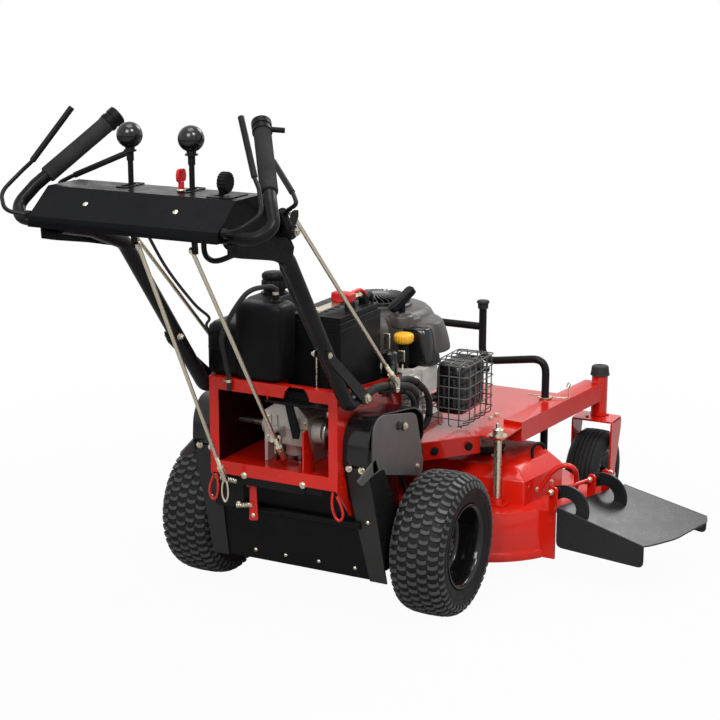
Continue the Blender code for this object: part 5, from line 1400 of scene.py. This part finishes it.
class MOWER_OT_engine(bpy.types.Operator):
    """Engine block, blown shroud, screen, caps, starter handle, muffler and looms"""

    bl_idname = "mower.engine"
    bl_label = "Engine"

    def execute(self, context):
        self.block()
        self.shroud()
        self.caps()
        self.muffler()
        self.looms()
        return {"FINISHED"}

    def block(self):
        """Crankcase drum with two finned cylinders, sump flange and exhaust stub."""
        x, y = CRANK
        base = FRAME_TOP + 0.0004
        case = [(0.014, base), (0.118, base), (0.118, base + 0.01), (0.112, base + 0.016), (0.108, 0.47),
                (0.1, 0.5), (0.114, 0.506), (0.114, 0.5245), (0.014, 0.5245)]
        shells = [hoop(case, (x, y, 0), steps=56)]
        flange = rounded(rect(-0.128, y - 0.128, 0.128, y + 0.128), 0.03, 6)
        hole = arc((x, y), 0.015, 0, 360, len(flange) - 1)
        shells.append(collar(flange, np.roll(hole, 8, axis=0), base, base + 0.016))
        for side in (-1, 1):
            core = rounded(rect(side * 0.046, 0.09, side * 0.16, 0.198), 0.018, 5)
            shells.append(prism(core, "Z", 0.4, 0.5245))
            for step in range(9):
                z = 0.404 + step * 0.0132
                reach = 0.006 if step % 4 else 0.004
                fin = rounded([(side * 0.04, 0.09 - reach - 0.002),
                    (side * (0.162 + reach), 0.09 - reach - 0.002), (side * (0.162 + reach), 0.205),
                    (side * 0.04, 0.205)], 0.014, 4)
                shells.append(prism(fin, "Z", z, z + 0.003))
            for angle in (20, 90, 160, 200, 270, 340):
                turn = math.radians(angle)
                spot = (side * 0.11 + math.cos(turn) * 0.052, 0.148 + math.sin(turn) * 0.046)
                shells.append(bar((*spot, 0.398), (*spot, 0.5225), 0.0062, 14))
        shells.append(bar((0.15, 0.18, 0.425), (0.15, 0.2375, 0.425), 0.011))
        shells.append(block((0.136, 0.128, 0.462), (0.186, 0.205, 0.5245)))
        shells.append(bar((0.168, 0.132, 0.496), (0.168, 0.12, 0.496), 0.013, 24))
        for x in (0.138, 0.15, 0.162, 0.174, 0.186):
            shells.append(block((x - 0.0012, 0.124, 0.464), (x + 0.0012, 0.13, 0.52)))
        piece("crankcase", shells, cast_metal(), "chassis", "engine_block", edge=0.0005)
        rod = [(*FILLER, 0.575), (0.137, 0.122, 0.54), (0.14, 0.106, 0.5), (0.146, 0.086, 0.44)]
        shells = [bar((*FILLER, 0.52), (*FILLER, 0.5822), 0.0125, 28)]
        piece("filler_neck", shells, black_moulding())
        piece("dipstick_tube", [tube(smooth(rod, 28), 0.0024, 12)], zinc_plate())
        can = [(0, 0), (0.016, 0), (0.018, 0.003), (0.018, 0.05), (0.014, 0.054), (0, 0.055)]
        parts = [lathe(can, (0.134, 0.06, 0.524), steps=36),
                 block((0.104, 0.06, 0.47), (0.152, 0.088, 0.523))]
        filter_can = [(0, 0), (0.03, 0), (0.032, 0.004), (0.032, 0.05), (0.026, 0.06), (0, 0.062)]
        parts.append(lathe(filter_can, (0.15, 0.052, 0.346), steps=40))
        piece("oil_filter", parts, black_gloss(), edge=0.0008)
        strips = [block((0.116, 0.064, 0.58), (0.131, 0.068, 0.617)),
                  block((0.14, 0.09, 0.548), (0.156, 0.094, 0.574))]
        plated("cylinder_plates", strips, edge=0.001)

    def blown(self, foot, roof, low, high, soft):
        """A moulded lobe: at turn t its outline has gone (1 - cos t + sin t) / 2 of the way
        from foot to roof, at low + (high - low) * sin t, and it closes flat at the roof."""
        foot, roof = rounded(foot, soft, 7), rounded(roof, soft, 7)
        turn = np.radians(np.linspace(0, 86, 14))
        shares = ((1 - np.cos(turn) + np.sin(turn)) / 2)[:, None, None]
        flat = foot * (1 - shares) + roof * shares
        heights = low + 0.006 + (high - low - 0.006) * np.sin(turn)
        rings = [lying(foot, low)]
        rings += [lying(edge, z) for edge, z in zip(flat, heights)]
        for grow, rise in ((0.94, 0.0004), (0.8, 0.001), (0.4, 0.0014)):
            rings.append(lying(scaled(roof, grow), high + rise))
        return skin(rings)

    def shroud(self):
        """A moulded dome with its screen, a snout to the right over the exhaust, and the
        covers of the two cylinders."""
        dome = [(0, 0.5256), (0.1485, 0.5256), (0.15, 0.527), (0.15, 0.534), (0.148, 0.536), (0.147, 0.55)]
        dome += [(0.143, 0.58), (0.136, 0.605), (0.127, 0.621), (0.117, 0.63), (0.105, 0.634), (0, 0.6345)]
        shells = [lathe(dome, FAN, steps=72)]
        snout = [(0.06, 0.178), (0.172, 0.178), (0.2, 0.2), (0.2, 0.25), (0.176, 0.292), (0.13, 0.33)]
        ridge = [(0.06, 0.19), (0.15, 0.194), (0.176, 0.212), (0.176, 0.248), (0.156, 0.284),
                 (0.118, 0.314)]
        shells.append(self.blown([*snout, (0.06, 0.334)], [*ridge, (0.06, 0.32)], 0.55, 0.6165, 0.022))
        shoulder = [(0.03, 0.152), (0.108, 0.152), (0.146, 0.172), (0.156, 0.235), (0.06, 0.26)]
        summit = [(0.044, 0.168), (0.104, 0.168), (0.13, 0.184), (0.136, 0.23), (0.064, 0.25)]
        shells.append(self.blown(shoulder, summit, 0.545, 0.626, 0.024))
        left = [(-0.2, 0.15), (-0.185, 0.07), (0.025, 0.07), (0.025, 0.262), (-0.17, 0.262)]
        crest = [(-0.15, 0.156), (-0.132, 0.104), (0.025, 0.104), (0.025, 0.246), (-0.122, 0.246)]
        shells.append(self.blown(left, crest, 0.5261, 0.62, 0.03))
        screen = [(0, 0.63), (0.081, 0.63), (0.08, 0.64), (0.075, 0.644), (0, 0.644)]
        shells.append(lathe(screen, FAN, steps=64))
        collar_line = [(0, 0.6), (0.031, 0.608), (0.03, 0.63), (0.0275, 0.6335), (0.0225, 0.635),
            (0.021, 0.6392), (0.019, 0.64), (0, 0.64)]
        shells.append(lathe(collar_line, (*STARTER, 0), steps=44))
        piece("blown_shroud", shells, shroud_moulding(), "chassis", "engine_shroud",
              angle=42)
        foot = [(0.06, 0.157), (0.182, 0.157), (0.19, 0.168), (0.19, 0.222), (0.06, 0.222)]
        top = [(0.06, 0.168), (0.154, 0.168), (0.17, 0.18), (0.17, 0.218), (0.06, 0.218)]
        lip = [(0.06, 0.155), (0.184, 0.155), (0.192, 0.167), (0.192, 0.222), (0.06, 0.222)]
        covers = [self.blown(foot, top, 0.5257, 0.608, 0.016),
                  prism(rounded(lip, 0.014, 6), "Z", 0.5257, 0.53)]
        piece("cylinder_cover", covers, black_gloss(), angle=42)
        self.screen_slats()

    def screen_slats(self):
        """Raised slats of the screen, turned a little as they go out, round its hub."""
        rib = np.array([(0.022, 0.644), (0.075, 0.644), (0.074, 0.65), (0.066, 0.6575), (0.048, 0.6606),
            (0.022, 0.6612)])
        count = 32
        turns = np.arange(count)[:, None, None] * TAU / count + 0.45 * (rib[None, None, :, 0]
            - 0.022) / 0.053
        width = np.array([-0.0014, 0.0014])[None, :, None]
        radius, height = rib[None, None, :, 0], np.broadcast_to(rib[None, None, :, 1], (count, 2, len(rib)))
        xs = radius * np.cos(turns) - width * np.sin(turns)
        ys = radius * np.sin(turns) + width * np.cos(turns) + FAN[1]
        points = np.stack([xs, ys, height], axis=-1).reshape(count, -1, 3)
        shells = [many(points, shell_faces(2, len(rib)))]
        hub = [(0, 0.644), (0.026, 0.644), (0.026, 0.659), (0.022, 0.6612), (0, 0.6616)]
        shells.append(lathe(hub, FAN, steps=40))
        rim = [(0.073, 0.644), (0.076, 0.644), (0.076, 0.65), (0.073, 0.651)]
        shells.append(hoop(rim, FAN, steps=64))
        piece("screen_slats", shells, black_gloss())

    def caps(self):
        """Ribbed oil cap, tilted starter handle and its rope."""
        wave = 0.001 * np.cos(whole_turn(120) * 20)
        steps = [(0, 0.018, 0), (0.003, 0.0205, 0.4), (0.006, 0.0222, 1), (0.017, 0.0224, 1),
                 (0.0205, 0.0208, 0.4), (0.0222, 0.018, 0), (0.0232, 0.012, 0), (0.0236, 0.005, 0)]
        cap = fluted(steps, wave, (*FILLER, 0.5828))
        piece("oil_filler_cap", [cap], cap_moulding(), "oil_cap", "oil_cap", angle=60)
        slope = math.radians(37)
        lean = np.array([math.cos(slope) * 0.5, math.cos(slope) * 0.866, math.sin(slope)])
        across = np.array([-0.866, 0.5, 0.0])
        up = np.cross(lean, across)
        middle = np.array([*STARTER, 0.67])
        flat = rounded(rect(-0.038, -0.013, 0.038, 0.013), 0.0085, 6)
        heights = [(-0.008, 0.9), (-0.0065, 1.0), (0.0065, 1.0), (0.008, 0.9)]
        rings = [middle + flat[:, :1] * lean * grow + flat[:, 1:] * across * grow + up * rise
                 for rise, grow in heights]
        shells = [skin(rings), bar((*STARTER, 0.6406), (*STARTER, 0.672), 0.0085, 28)]
        piece("pull_handle", shells, black_moulding(), "starter_handle", "starter_handle")
        rope = [np.array([*STARTER, z]) for z in np.linspace(0.596, 0.65, 24)]
        made = piece("pull_rope", [tube(np.array(rope), 0.0021, 10)], black_rubber(), None)
        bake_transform(made)

    def muffler(self):
        """A pressed box with swaged ribs in a cage of welded wire."""
        (x0, y0, z0), (x1, y1, z1) = (0.162, 0.237, 0.391), (0.236, 0.383, 0.509)
        outline = rounded(rect(x0, y0, x1, y1), 0.02, 6)
        heights = [(z0, 0.84), (z0 + 0.004, 0.93), (z0 + 0.012, 0.975), (z0 + 0.018, 0.975)]
        heights += [(z1 - 0.03, 0.975), (z1 - 0.02, 0.97), (z1 - 0.01, 0.945), (z1 - 0.003, 0.89),
                    (z1, 0.8)]
        rings = [lying(scaled(outline, grow), z) for z, grow in heights]
        shells = [skin(rings), bar((0.15, 0.2485, 0.425), (0.172, 0.26, 0.425), 0.011, 24)]
        shells.append(skin([lying(outline, z) for z in (0.488, 0.4915)]))
        for y in (0.268, 0.31, 0.352):
            shells.append(bar((x1 - 0.006, y, z0 + 0.014), (x1 - 0.006, y, z1 - 0.03), 0.0085, 20))
        for x in (0.186, 0.212):
            shells.append(bar((x, y0 + 0.006, z0 + 0.014), (x, y0 + 0.006, z1 - 0.03), 0.0085, 20))
        shells.append(bar((0.228, 0.362, 0.48), (0.25, 0.366, 0.48), 0.007, 20))
        piece("muffler_box", shells, black_gloss(), "chassis", "muffler")
        wire = sizes().cage_wire
        front, back, inner, outer = 0.392, 0.228, 0.158, 0.251
        low, roof = 0.372, 0.514
        wires = []
        for z in np.linspace(low + 0.012, roof, 6):
            loop = rounded(rect(inner, back, outer, front), 0.01, 4)
            wires.append(tube(lying(loop, z), wire, 7, looped=True))
        paths = []
        for y in np.linspace(back + 0.018, front - 0.018, 5):
            paths.append([(inner + 0.002, y, roof - 0.026), (inner + 0.002, y, roof + 0.0012),
                (outer + 0.001, y, roof + 0.0012), (outer + 0.001, y, low), (outer - 0.03, y, low - 0.01)])
        for x in np.linspace(inner + 0.022, outer - 0.018, 3):
            paths.append([(x, back + 0.04, roof + 0.0028), (x, back - 0.001, roof + 0.0028),
                (x, back - 0.001, low - 0.002), (x, back + 0.016, low - 0.01)])
            paths.append([(x, front - 0.05, roof + 0.0028), (x, front + 0.001, roof + 0.0028),
                (x, front + 0.001, low + 0.008)])
        wires += [tube(bent(path, 0.009, 4), wire, 7) for path in paths]
        piece("cage", wires, cover_sheet(), "chassis", "muffler_guard")

    def looms(self):
        """Hoses and wiring bundles that run beside the engine."""
        runs = [
            ([(0.172, -0.15, 0.52), (0.182, -0.11, 0.536), (0.186, -0.05, 0.529), (0.188, 0.01, 0.515),
             (0.186, 0.06, 0.498), (0.182, 0.098, 0.465), (0.176, 0.1, 0.43), (0.168, 0.08, 0.406)], 0.009),
            ([(0.176, 0.0, 0.523), (0.182, 0.06, 0.518), (0.186, 0.115, 0.49), (0.184, 0.16, 0.45),
             (0.178, 0.18, 0.408), (0.168, 0.176, 0.376), (0.15, 0.16, 0.362)], 0.008),
            ([(0.17, -0.06, 0.516), (0.184, 0.02, 0.502), (0.19, 0.066, 0.47), (0.188, 0.078, 0.42),
             (0.176, 0.074, 0.38)], 0.0065),
            ([(0.14, 0.06, 0.56), (0.156, 0.03, 0.548), (0.166, 0.0, 0.526), (0.166, -0.012, 0.49)], 0.005),
            ([(0.196, -0.548, 0.93), (0.176, -0.505, 0.89), (0.167, -0.44, 0.805), (0.164, -0.352, 0.695),
             (0.163, -0.28, 0.602), (0.15, -0.18, 0.566)], 0.0048),
            ([(-0.058, -0.62, 0.95), (-0.048, -0.56, 0.86), (-0.052, -0.46, 0.77), (-0.1, -0.33, 0.71),
             (-0.15, -0.262, 0.67), (-0.182, -0.16, 0.6), (-0.176, 0.01, 0.51)], 0.0032),
        ]
        for count, (route, radius) in enumerate(runs):
            piece(f"loom_{count + 1}", [tube(smooth(route, 54), radius, 14)], black_rubber())
        ties = []
        for route, radius in runs[:5]:
            line = smooth(route, 54)
            for at in (14, 36):
                ring = rect(radius, -0.002, radius + 0.0012, 0.002)
                ties.append(aimed(hoop(ring, steps=20), line[at], line[at + 1]))
        piece("loom_ties", ties, black_moulding())


class MOWER_OT_deck(bpy.types.Operator):
    """Deck shell with its rolled rim and ears, handle, belt guide, hangers and lift bar"""

    bl_idname = "mower.deck"
    bl_label = "Deck"

    def execute(self, context):
        self.shell()
        self.hardware()
        self.lift_bar()
        return {"FINISHED"}

    def outline(self, outward, start=38.0, end=-32.0):
        """The skirt's path from ahead of the outlet, round both drums, to behind it."""
        right, left = RIGHT_DRUM, LEFT_DRUM
        parts = [arc(right[:2], right[2] + outward, start, 90, 14),
                 arc(left[:2], left[2] + outward, 90, 305, 54),
                 arc(right[:2], right[2] + outward, -125, end, 26)]
        return np.concatenate(parts)

    def shell(self):
        """A skirt wall with a rolled rim, the top sheet, and the raised box."""
        low, top = 0.055, 0.175
        section = [(-0.004, low + 0.004), (0, low + 0.0006), (0.0048, low - 0.0004), (0.0057, low + 0.003),
                   (0.0057, low + 0.015)]
        section += [(0.0048, low + 0.0195), (0.0006, low + 0.0215), (0, low + 0.03), (0, top - 0.003),
                    (-0.0012, top - 0.0006), (-0.004, top - 0.001)]
        rings = np.stack([lying(self.outline(out), z) for out, z in section], axis=1)
        shells = [skin(rings)]
        plate = np.concatenate([self.outline(-0.001), [(0.45, 0.286), (0.458, 0.288), (0.542, 0.5135),
            (0.43, 0.515)]])
        shells.append(prism(plate, "Z", top - 0.004, top))
        out = np.array([(0.3, 0.2865), (0.4585, 0.2865), (0.543, 0.515), (0.3, 0.515)])
        wall = 0.004
        shells.append(prism([out[0] + (0.1, 0), out[1], out[1] + (0.0015, wall), out[0] + (0.1, wall)], "Z",
            low + 0.001, top - 0.001))
        shells.append(prism([out[3] + (0.09, -wall), out[2] + (-0.0015, -wall), out[2], out[3] + (0.09, 0)],
            "Z", low + 0.001, top - 0.001))
        hump = [(0.075, 0.325), (0.09, 0.28), (0.2, 0.278), (0.378, 0.291), (0.404, 0.476), (0.33, 0.56)]
        hump += [(-0.33, 0.56), (-0.404, 0.5), (-0.378, 0.318), (-0.2, 0.285), (-0.09, 0.285),
                 (-0.075, 0.325)]
        crown = [(0.07, 0.345), (0.082, 0.3), (0.2, 0.3), (0.35, 0.315), (0.37, 0.47), (0.31, 0.535)]
        crown += [(-0.31, 0.535), (-0.37, 0.48), (-0.35, 0.338), (-0.2, 0.31), (-0.082, 0.306),
                  (-0.07, 0.345)]
        hump, crown = rounded(hump, 0.005, 4), rounded(crown, 0.005, 4)
        levels = [(hump, 0.17), (hump, 0.2335), (hump * 0.9 + crown * 0.1, 0.237),
                  (hump * 0.08 + crown * 0.92, 0.2582), (crown, 0.26)]
        shells.append(skin([lying(edge, z) for edge, z in levels]))
        for x, y, _ in (RIGHT_DRUM, LEFT_DRUM):
            shells.append(hoop([(0.0135, 0.205), (0.036, 0.205), (0.036, 0.261), (0.034, 0.2625),
                (0.0135, 0.2625)], (x, y, 0), steps=40))
        for side in (-1, 1):
            shells.append(block((side * LIFT_X - 0.016, 0.589, 0.172),
                (side * LIFT_X + 0.016, 0.621, 0.205)))
            shells.append(lathe([(0, 0.172), (0.017, 0.172), (0.015, 0.19), (0, 0.1902)],
                (side * HANGER[0], HANGER[1], 0), steps=28))
            foot = rounded(rect(side * HANGER[0] - 0.026, 0.255, side * HANGER[0] + 0.026, 0.291), 0.008, 4)
            shells.append(prism(foot, "Z", 0.174, 0.179))
        for along in (0.01, 0.15, 0.204):
            ear = rounded([(-0.013, -0.053), (0.005, -0.053), (0.0115, -0.012), (0.0115, 0.012),
                (-0.0115, 0.012)], 0.01, 6)
            corners = HINGE + HINGE_LINE * along + ear[:, :1] * HINGE_ACROSS + ear[:, 1:] * UP
            shells.append(slab(corners, HINGE_LINE * 0.006))
        shells.append(bar(HINGE - HINGE_LINE * 0.008, HINGE + HINGE_LINE * 0.232, 0.005, 20))
        piece("deck_sheet", shells, gloss_paint(), "deck", "deck_shell", edge=0.0007)

    def hardware(self):
        """Bent bar handle, belt guide, bolts and plated hinge nuts on the deck."""
        handle = [(0.398, 0.34, 0.205), (0.422, 0.338, 0.246), (0.442, 0.345, 0.266), (0.464, 0.35, 0.272),
                  (0.479, 0.36, 0.258), (0.472, 0.388, 0.215), (0.462, 0.4, 0.172)]
        piece("deck_handle", [tube(smooth(handle, 48), 0.0062, 18)], gloss_paint(), "deck")
        guide = [(0.352, 0.402, 0.258), (0.352, 0.404, 0.283), (0.36, 0.412, 0.295), (0.37, 0.42, 0.292),
                 (0.374, 0.424, 0.281)]
        piece("belt_guide", [tube(smooth(guide, 30), 0.0042, 14)], black_coat(), "deck")
        parts = []
        for along, hand, half in ((0.003, -1, 0.0072), (0.218, 1, 0.0072), (0.144, -1, 0.0066)):
            parts += bolt(HINGE + HINGE_LINE * along, HINGE_LINE * hand, half, nut=True)
        for x, y in ((0.398, 0.33), (0.398, 0.4)):
            parts += bolt((x - 0.004 + (y - 0.33) * 0.14, y, 0.208), (0.99, -0.14, 0), 0.006)
        for x, y, _ in (RIGHT_DRUM, LEFT_DRUM):
            for turn in QUARTERS:
                parts += bolt((x + 0.048 * math.cos(turn), y + 0.048 * math.sin(turn), 0.26), UP, 0.0048,
                    washer=False)
        plated("deck_bolts", parts, "deck")

    def lift_bar(self):
        """Bent posts with a crosspiece and black caps, and the plated rear hangers."""
        post = [(LIFT_X, LIFT_Y, 0.2053), (LIFT_X, LIFT_Y, 0.4585), (0.128, LIFT_Y, 0.4325),
                (0.128, LIFT_Y, 0.589)]
        shells = [tube(bent(flip(post, side), 0.034, 8), 0.0098, 24) for side in (-1, 1)]
        shells.append(bar((-0.128, LIFT_Y, 0.523), (0.128, LIFT_Y, 0.523), 0.0096, 24))
        piece("lift_tubes", shells, black_coat(), "deck", "lift_bar")
        cap = [(0, -0.018), (0.0132, -0.018), (0.0136, -0.006), (0.016, -0.004), (0.0162, 0.0),
               (0.0145, 0.0022), (0, 0.0026)]
        caps = [lathe(cap, (side * 0.128, LIFT_Y, 0.5892), steps=32) for side in (-1, 1)]
        piece("lift_caps", caps, black_rubber(), "deck")
        for side, tag in SIDES:
            x, y = side * HANGER[0], HANGER[1]
            shells = [
                bar((x, y, 0.1905), (x, y, 0.366), 0.0092, 28),
                hoop(rect(0.0098, 0, 0.022, 0.0032), (x, y, 0.3454), steps=36),
                lathe([(0, 0), (0.0132, 0), (0.0132, 0.0135), (0.0112, 0.015), (0, 0.0152)], (x, y, 0.3488),
                      steps=32),
            ]
            shells.append(bar((x, y - 0.004, 0.362), (x, y - 0.004, 0.378), 0.0042, 16))
            piece(f"hanger_{tag}", shells, zinc_plate(), "deck", f"deck_hanger_{tag}")


class MOWER_OT_chute(bpy.types.Operator):
    """Discharge deflector with turned-down sides, hung on two curved arms"""

    bl_idname = "mower.chute"
    bl_label = "Chute"

    def execute(self, context):
        rear, front, tip = (0.465, 0.28), (0.551, 0.518), (0.748, 0.5585)
        root = np.array([*rear, 0.19])
        fall = 0.07 / 0.1906

        def on_top(flat):
            flat = np.asarray(flat, float)
            return np.column_stack([flat, root[2] - fall * ((flat - root[:2]) @ HINGE_ACROSS[:2])])

        sheet = 0.0035
        edge = rounded([(0.674, 0.2998), (0.69, 0.33), (0.722, 0.4), (0.735, 0.455), (0.7575, 0.535),
            (0.748, 0.5585)], 0.022, 6)[7:-7]
        outline = np.concatenate([[rear], [(0.672, 0.2996)], edge, [tip], [front]])
        top = on_top(outline)
        shells = [slab(top, (0, 0, -sheet))]
        for start, end, drops, push in ((rear, (0.674, 0.2998), (0.1, 0.055), sheet),
                (front, tip, (0.06, 0.045), -sheet)):
            line = on_top(np.array([start, end]))
            flap = np.array([line[0], line[1], line[1] - (0, 0, drops[1]), line[0] - (0, 0, drops[0])])
            flap = np.concatenate([flap[:2], rounded(flap, 0.016, 6)[14:28]])
            shells.append(slab(flap, (-0.0004, push, 0)))
            shells.append(tube(np.array([line[0], line[1]]) + (0, push * 0.5, -sheet * 0.5), sheet * 0.62,
                12))
        centre = (0.022, -0.042)
        ring = np.concatenate([arc(centre, 0.058, 132, -20, 26), arc(centre, 0.027, -20, 132, 20)])
        for along in (0.024, 0.164):
            start = HINGE + HINGE_LINE * along
            corners = start + ring[:, :1] * RIGHT + ring[:, 1:] * UP
            shells.append(slab(corners, HINGE_LINE * 0.0048))
            eye = hoop(rect(0.0056, 0, 0.012, 0.005), steps=32)
            shells.append(aimed(eye, start, start + HINGE_LINE))
        piece("deflector", shells, satin_sheet(), "chute", "chute_deflector", edge=0.0006)
        return {"FINISHED"}


def satin_sheet():
    """Black coat rubbed to a soft sheen: it mirrors light broadly."""
    return finish("satin_sheet", (0.007, 0.007, 0.008), (0.011, 0.011, 0.012), (0.24, 0.33), cloud=5.0,
        grain=500.0, dent=0.0001, shine=0.3)


class MOWER_OT_stage(bpy.types.Operator):
    """Floor, white surroundings, lamps and camera"""

    bl_idname = "mower.stage"
    bl_label = "Stage"

    def execute(self, context):
        scene = context.scene
        scene.view_settings.view_transform = "Standard"
        floor = self.floor()
        self.surroundings(scene)
        middle = ORIGIN + CAMERA_TARGET
        self.lamp("key", middle + np.array([2.5, -1.7, 3.5]), middle, 1.4, 116.0)
        self.lamp("fill", middle + np.array([0.3, -3.5, 2.9]), middle, 1.6, 104.0)
        self.lamp("rim", middle + np.array([0.6, 3.2, 2.6]), middle, 1.6, 62.0)
        self.lamp("top", middle + np.array([-0.2, -0.4, 3.4]), middle, 1.8, 48.0)
        self.camera(scene)
        return {"FINISHED"}

    def floor(self):
        """A wide disc at the ground, white to the camera and pale to the light."""
        points, faces = lathe([(0.0, 0.0), (12.0, 0.0)], steps=64)
        data = bpy.data.meshes.new("floor")
        data.from_pydata((points + ORIGIN - np.array([0.0, 0.0, 0.0006])).tolist(), [], faces[:64])
        made = stood("floor", data)
        material, tree, shader = fresh_material("floor_white", (0.5, 0.5, 0.5), 0.75, 0.0)
        glow = node(tree, "ShaderNodeEmission", (0, -300), Color=WHITE)
        seen = node(tree, "ShaderNodeLightPath", (-200, 300))
        mixed = node(tree, "ShaderNodeMixShader", (300, 0))
        either = node(tree, "ShaderNodeMath", (0, 300), operation="MAXIMUM")
        part = node(tree, "ShaderNodeMath", (150, 300), operation="MULTIPLY")
        places = node(tree, "ShaderNodeTexCoord", (-800, 0))
        away = node(tree, "ShaderNodeVectorMath", (-600, 0), operation="LENGTH")
        reach = {"From_Min": 1.1, "From_Max": 2.4, "To_Min": 0.96, "To_Max": 1.0}
        fade = node(tree, "ShaderNodeMapRange", (-400, 0), **reach)
        join(tree, places, "Object", away, 0)
        join(tree, away, "Value", fade, "Value")
        join(tree, fade, "Result", part, 1)
        join(tree, seen, "Is Camera Ray", either, 0)
        join(tree, seen, "Is Transmission Ray", either, 1)
        join(tree, either, "Value", part, 0)
        join(tree, part, "Value", mixed, "Fac")
        join(tree, shader, "BSDF", mixed, 1)
        join(tree, glow, "Emission", mixed, 2)
        tree.links.new(mixed.outputs["Shader"], tree.nodes["Material Output"].inputs["Surface"])
        data.materials.append(material)
        return made

    def surroundings(self, scene):
        """A world that lights at a plain level and shows white to the camera, in
        reflections and through glass."""
        world = bpy.data.worlds.new("studio")
        scene.world = world
        world.use_nodes = True
        tree = world.node_tree
        tree.nodes.clear()
        out = node(tree, "ShaderNodeOutputWorld", (600, 0))
        soft = node(tree, "ShaderNodeBackground", (0, 100), Strength=0.2, Color=WHITE)
        white = node(tree, "ShaderNodeBackground", (0, -100), Strength=1.0, Color=WHITE)
        seen = node(tree, "ShaderNodeLightPath", (-400, 300))
        first = node(tree, "ShaderNodeMath", (-200, 300), operation="MAXIMUM")
        second = node(tree, "ShaderNodeMath", (0, 300), operation="MAXIMUM")
        mixed = node(tree, "ShaderNodeMixShader", (300, 0))
        join(tree, seen, "Is Camera Ray", first, 0)
        join(tree, seen, "Is Glossy Ray", first, 1)
        join(tree, first, "Value", second, 0)
        join(tree, seen, "Is Transmission Ray", second, 1)
        join(tree, second, "Value", mixed, "Fac")
        join(tree, soft, "Background", mixed, 1)
        join(tree, white, "Background", mixed, 2)
        join(tree, mixed, "Shader", out, "Surface")

    def lamp(self, name, place, target, size, energy):
        """A square area lamp that looks at the target."""
        data = bpy.data.lights.new(name, "AREA")
        data.shape = "SQUARE"
        data.size = size
        data.energy = energy
        turned(stood(name, data), place, target)

    def camera(self, scene):
        data = bpy.data.cameras.new("camera")
        data.sensor_width = 36.0
        data.lens = CAMERA_LENS
        scene.camera = stood("camera", data)
        turned(scene.camera, ORIGIN + CAMERA_PLACE, ORIGIN + CAMERA_TARGET)


def turned(made, place, target):
    """Puts an object at a place, its -Z pointing at a target and its +Y up."""
    ahead = Vector(target.tolist()) - Vector(place.tolist())
    made.location = place
    made.rotation_mode = "QUATERNION"
    made.rotation_quaternion = ahead.to_track_quat("-Z", "Y")


OPERATORS = (
    MOWER_OT_kept,
    MOWER_OT_rear_wheels,
    MOWER_OT_casters,
    MOWER_OT_handles,
    MOWER_OT_levers,
    MOWER_OT_rods,
    MOWER_OT_frame,
    MOWER_OT_guards,
    MOWER_OT_drive,
    MOWER_OT_supply,
    MOWER_OT_engine,
    MOWER_OT_deck,
    MOWER_OT_chute,
    MOWER_OT_stage,
)


class MOWER_PT_panel(bpy.types.Panel):
    """Lists the mower's pieces"""

    bl_idname = "MOWER_PT_panel"
    bl_label = "Mower"
    bl_space_type = "VIEW_3D"
    bl_region_type = "UI"
    bl_category = "Mower"

    def draw(self, context):
        for group in (context.scene.mower_sizes, context.scene.mower_colours):
            for key in group.__annotations__:
                self.layout.prop(group, key)
        for operator in OPERATORS:
            self.layout.operator(operator.bl_idname)


CLASSES = (MowerSizes, MowerColours, *OPERATORS, MOWER_PT_panel)


def register():
    for kind in CLASSES:
        bpy.utils.register_class(kind)
    bpy.types.Scene.mower_sizes = bpy.props.PointerProperty(type=MowerSizes)
    bpy.types.Scene.mower_colours = bpy.props.PointerProperty(type=MowerColours)


def unregister():
    del bpy.types.Scene.mower_colours
    del bpy.types.Scene.mower_sizes
    for kind in reversed(CLASSES):
        bpy.utils.unregister_class(kind)


def main():
    register()
    for operator in OPERATORS:
        group, name = operator.bl_idname.split(".")
        getattr(getattr(bpy.ops, group), name)()


if __name__ == "__main__":
    main()
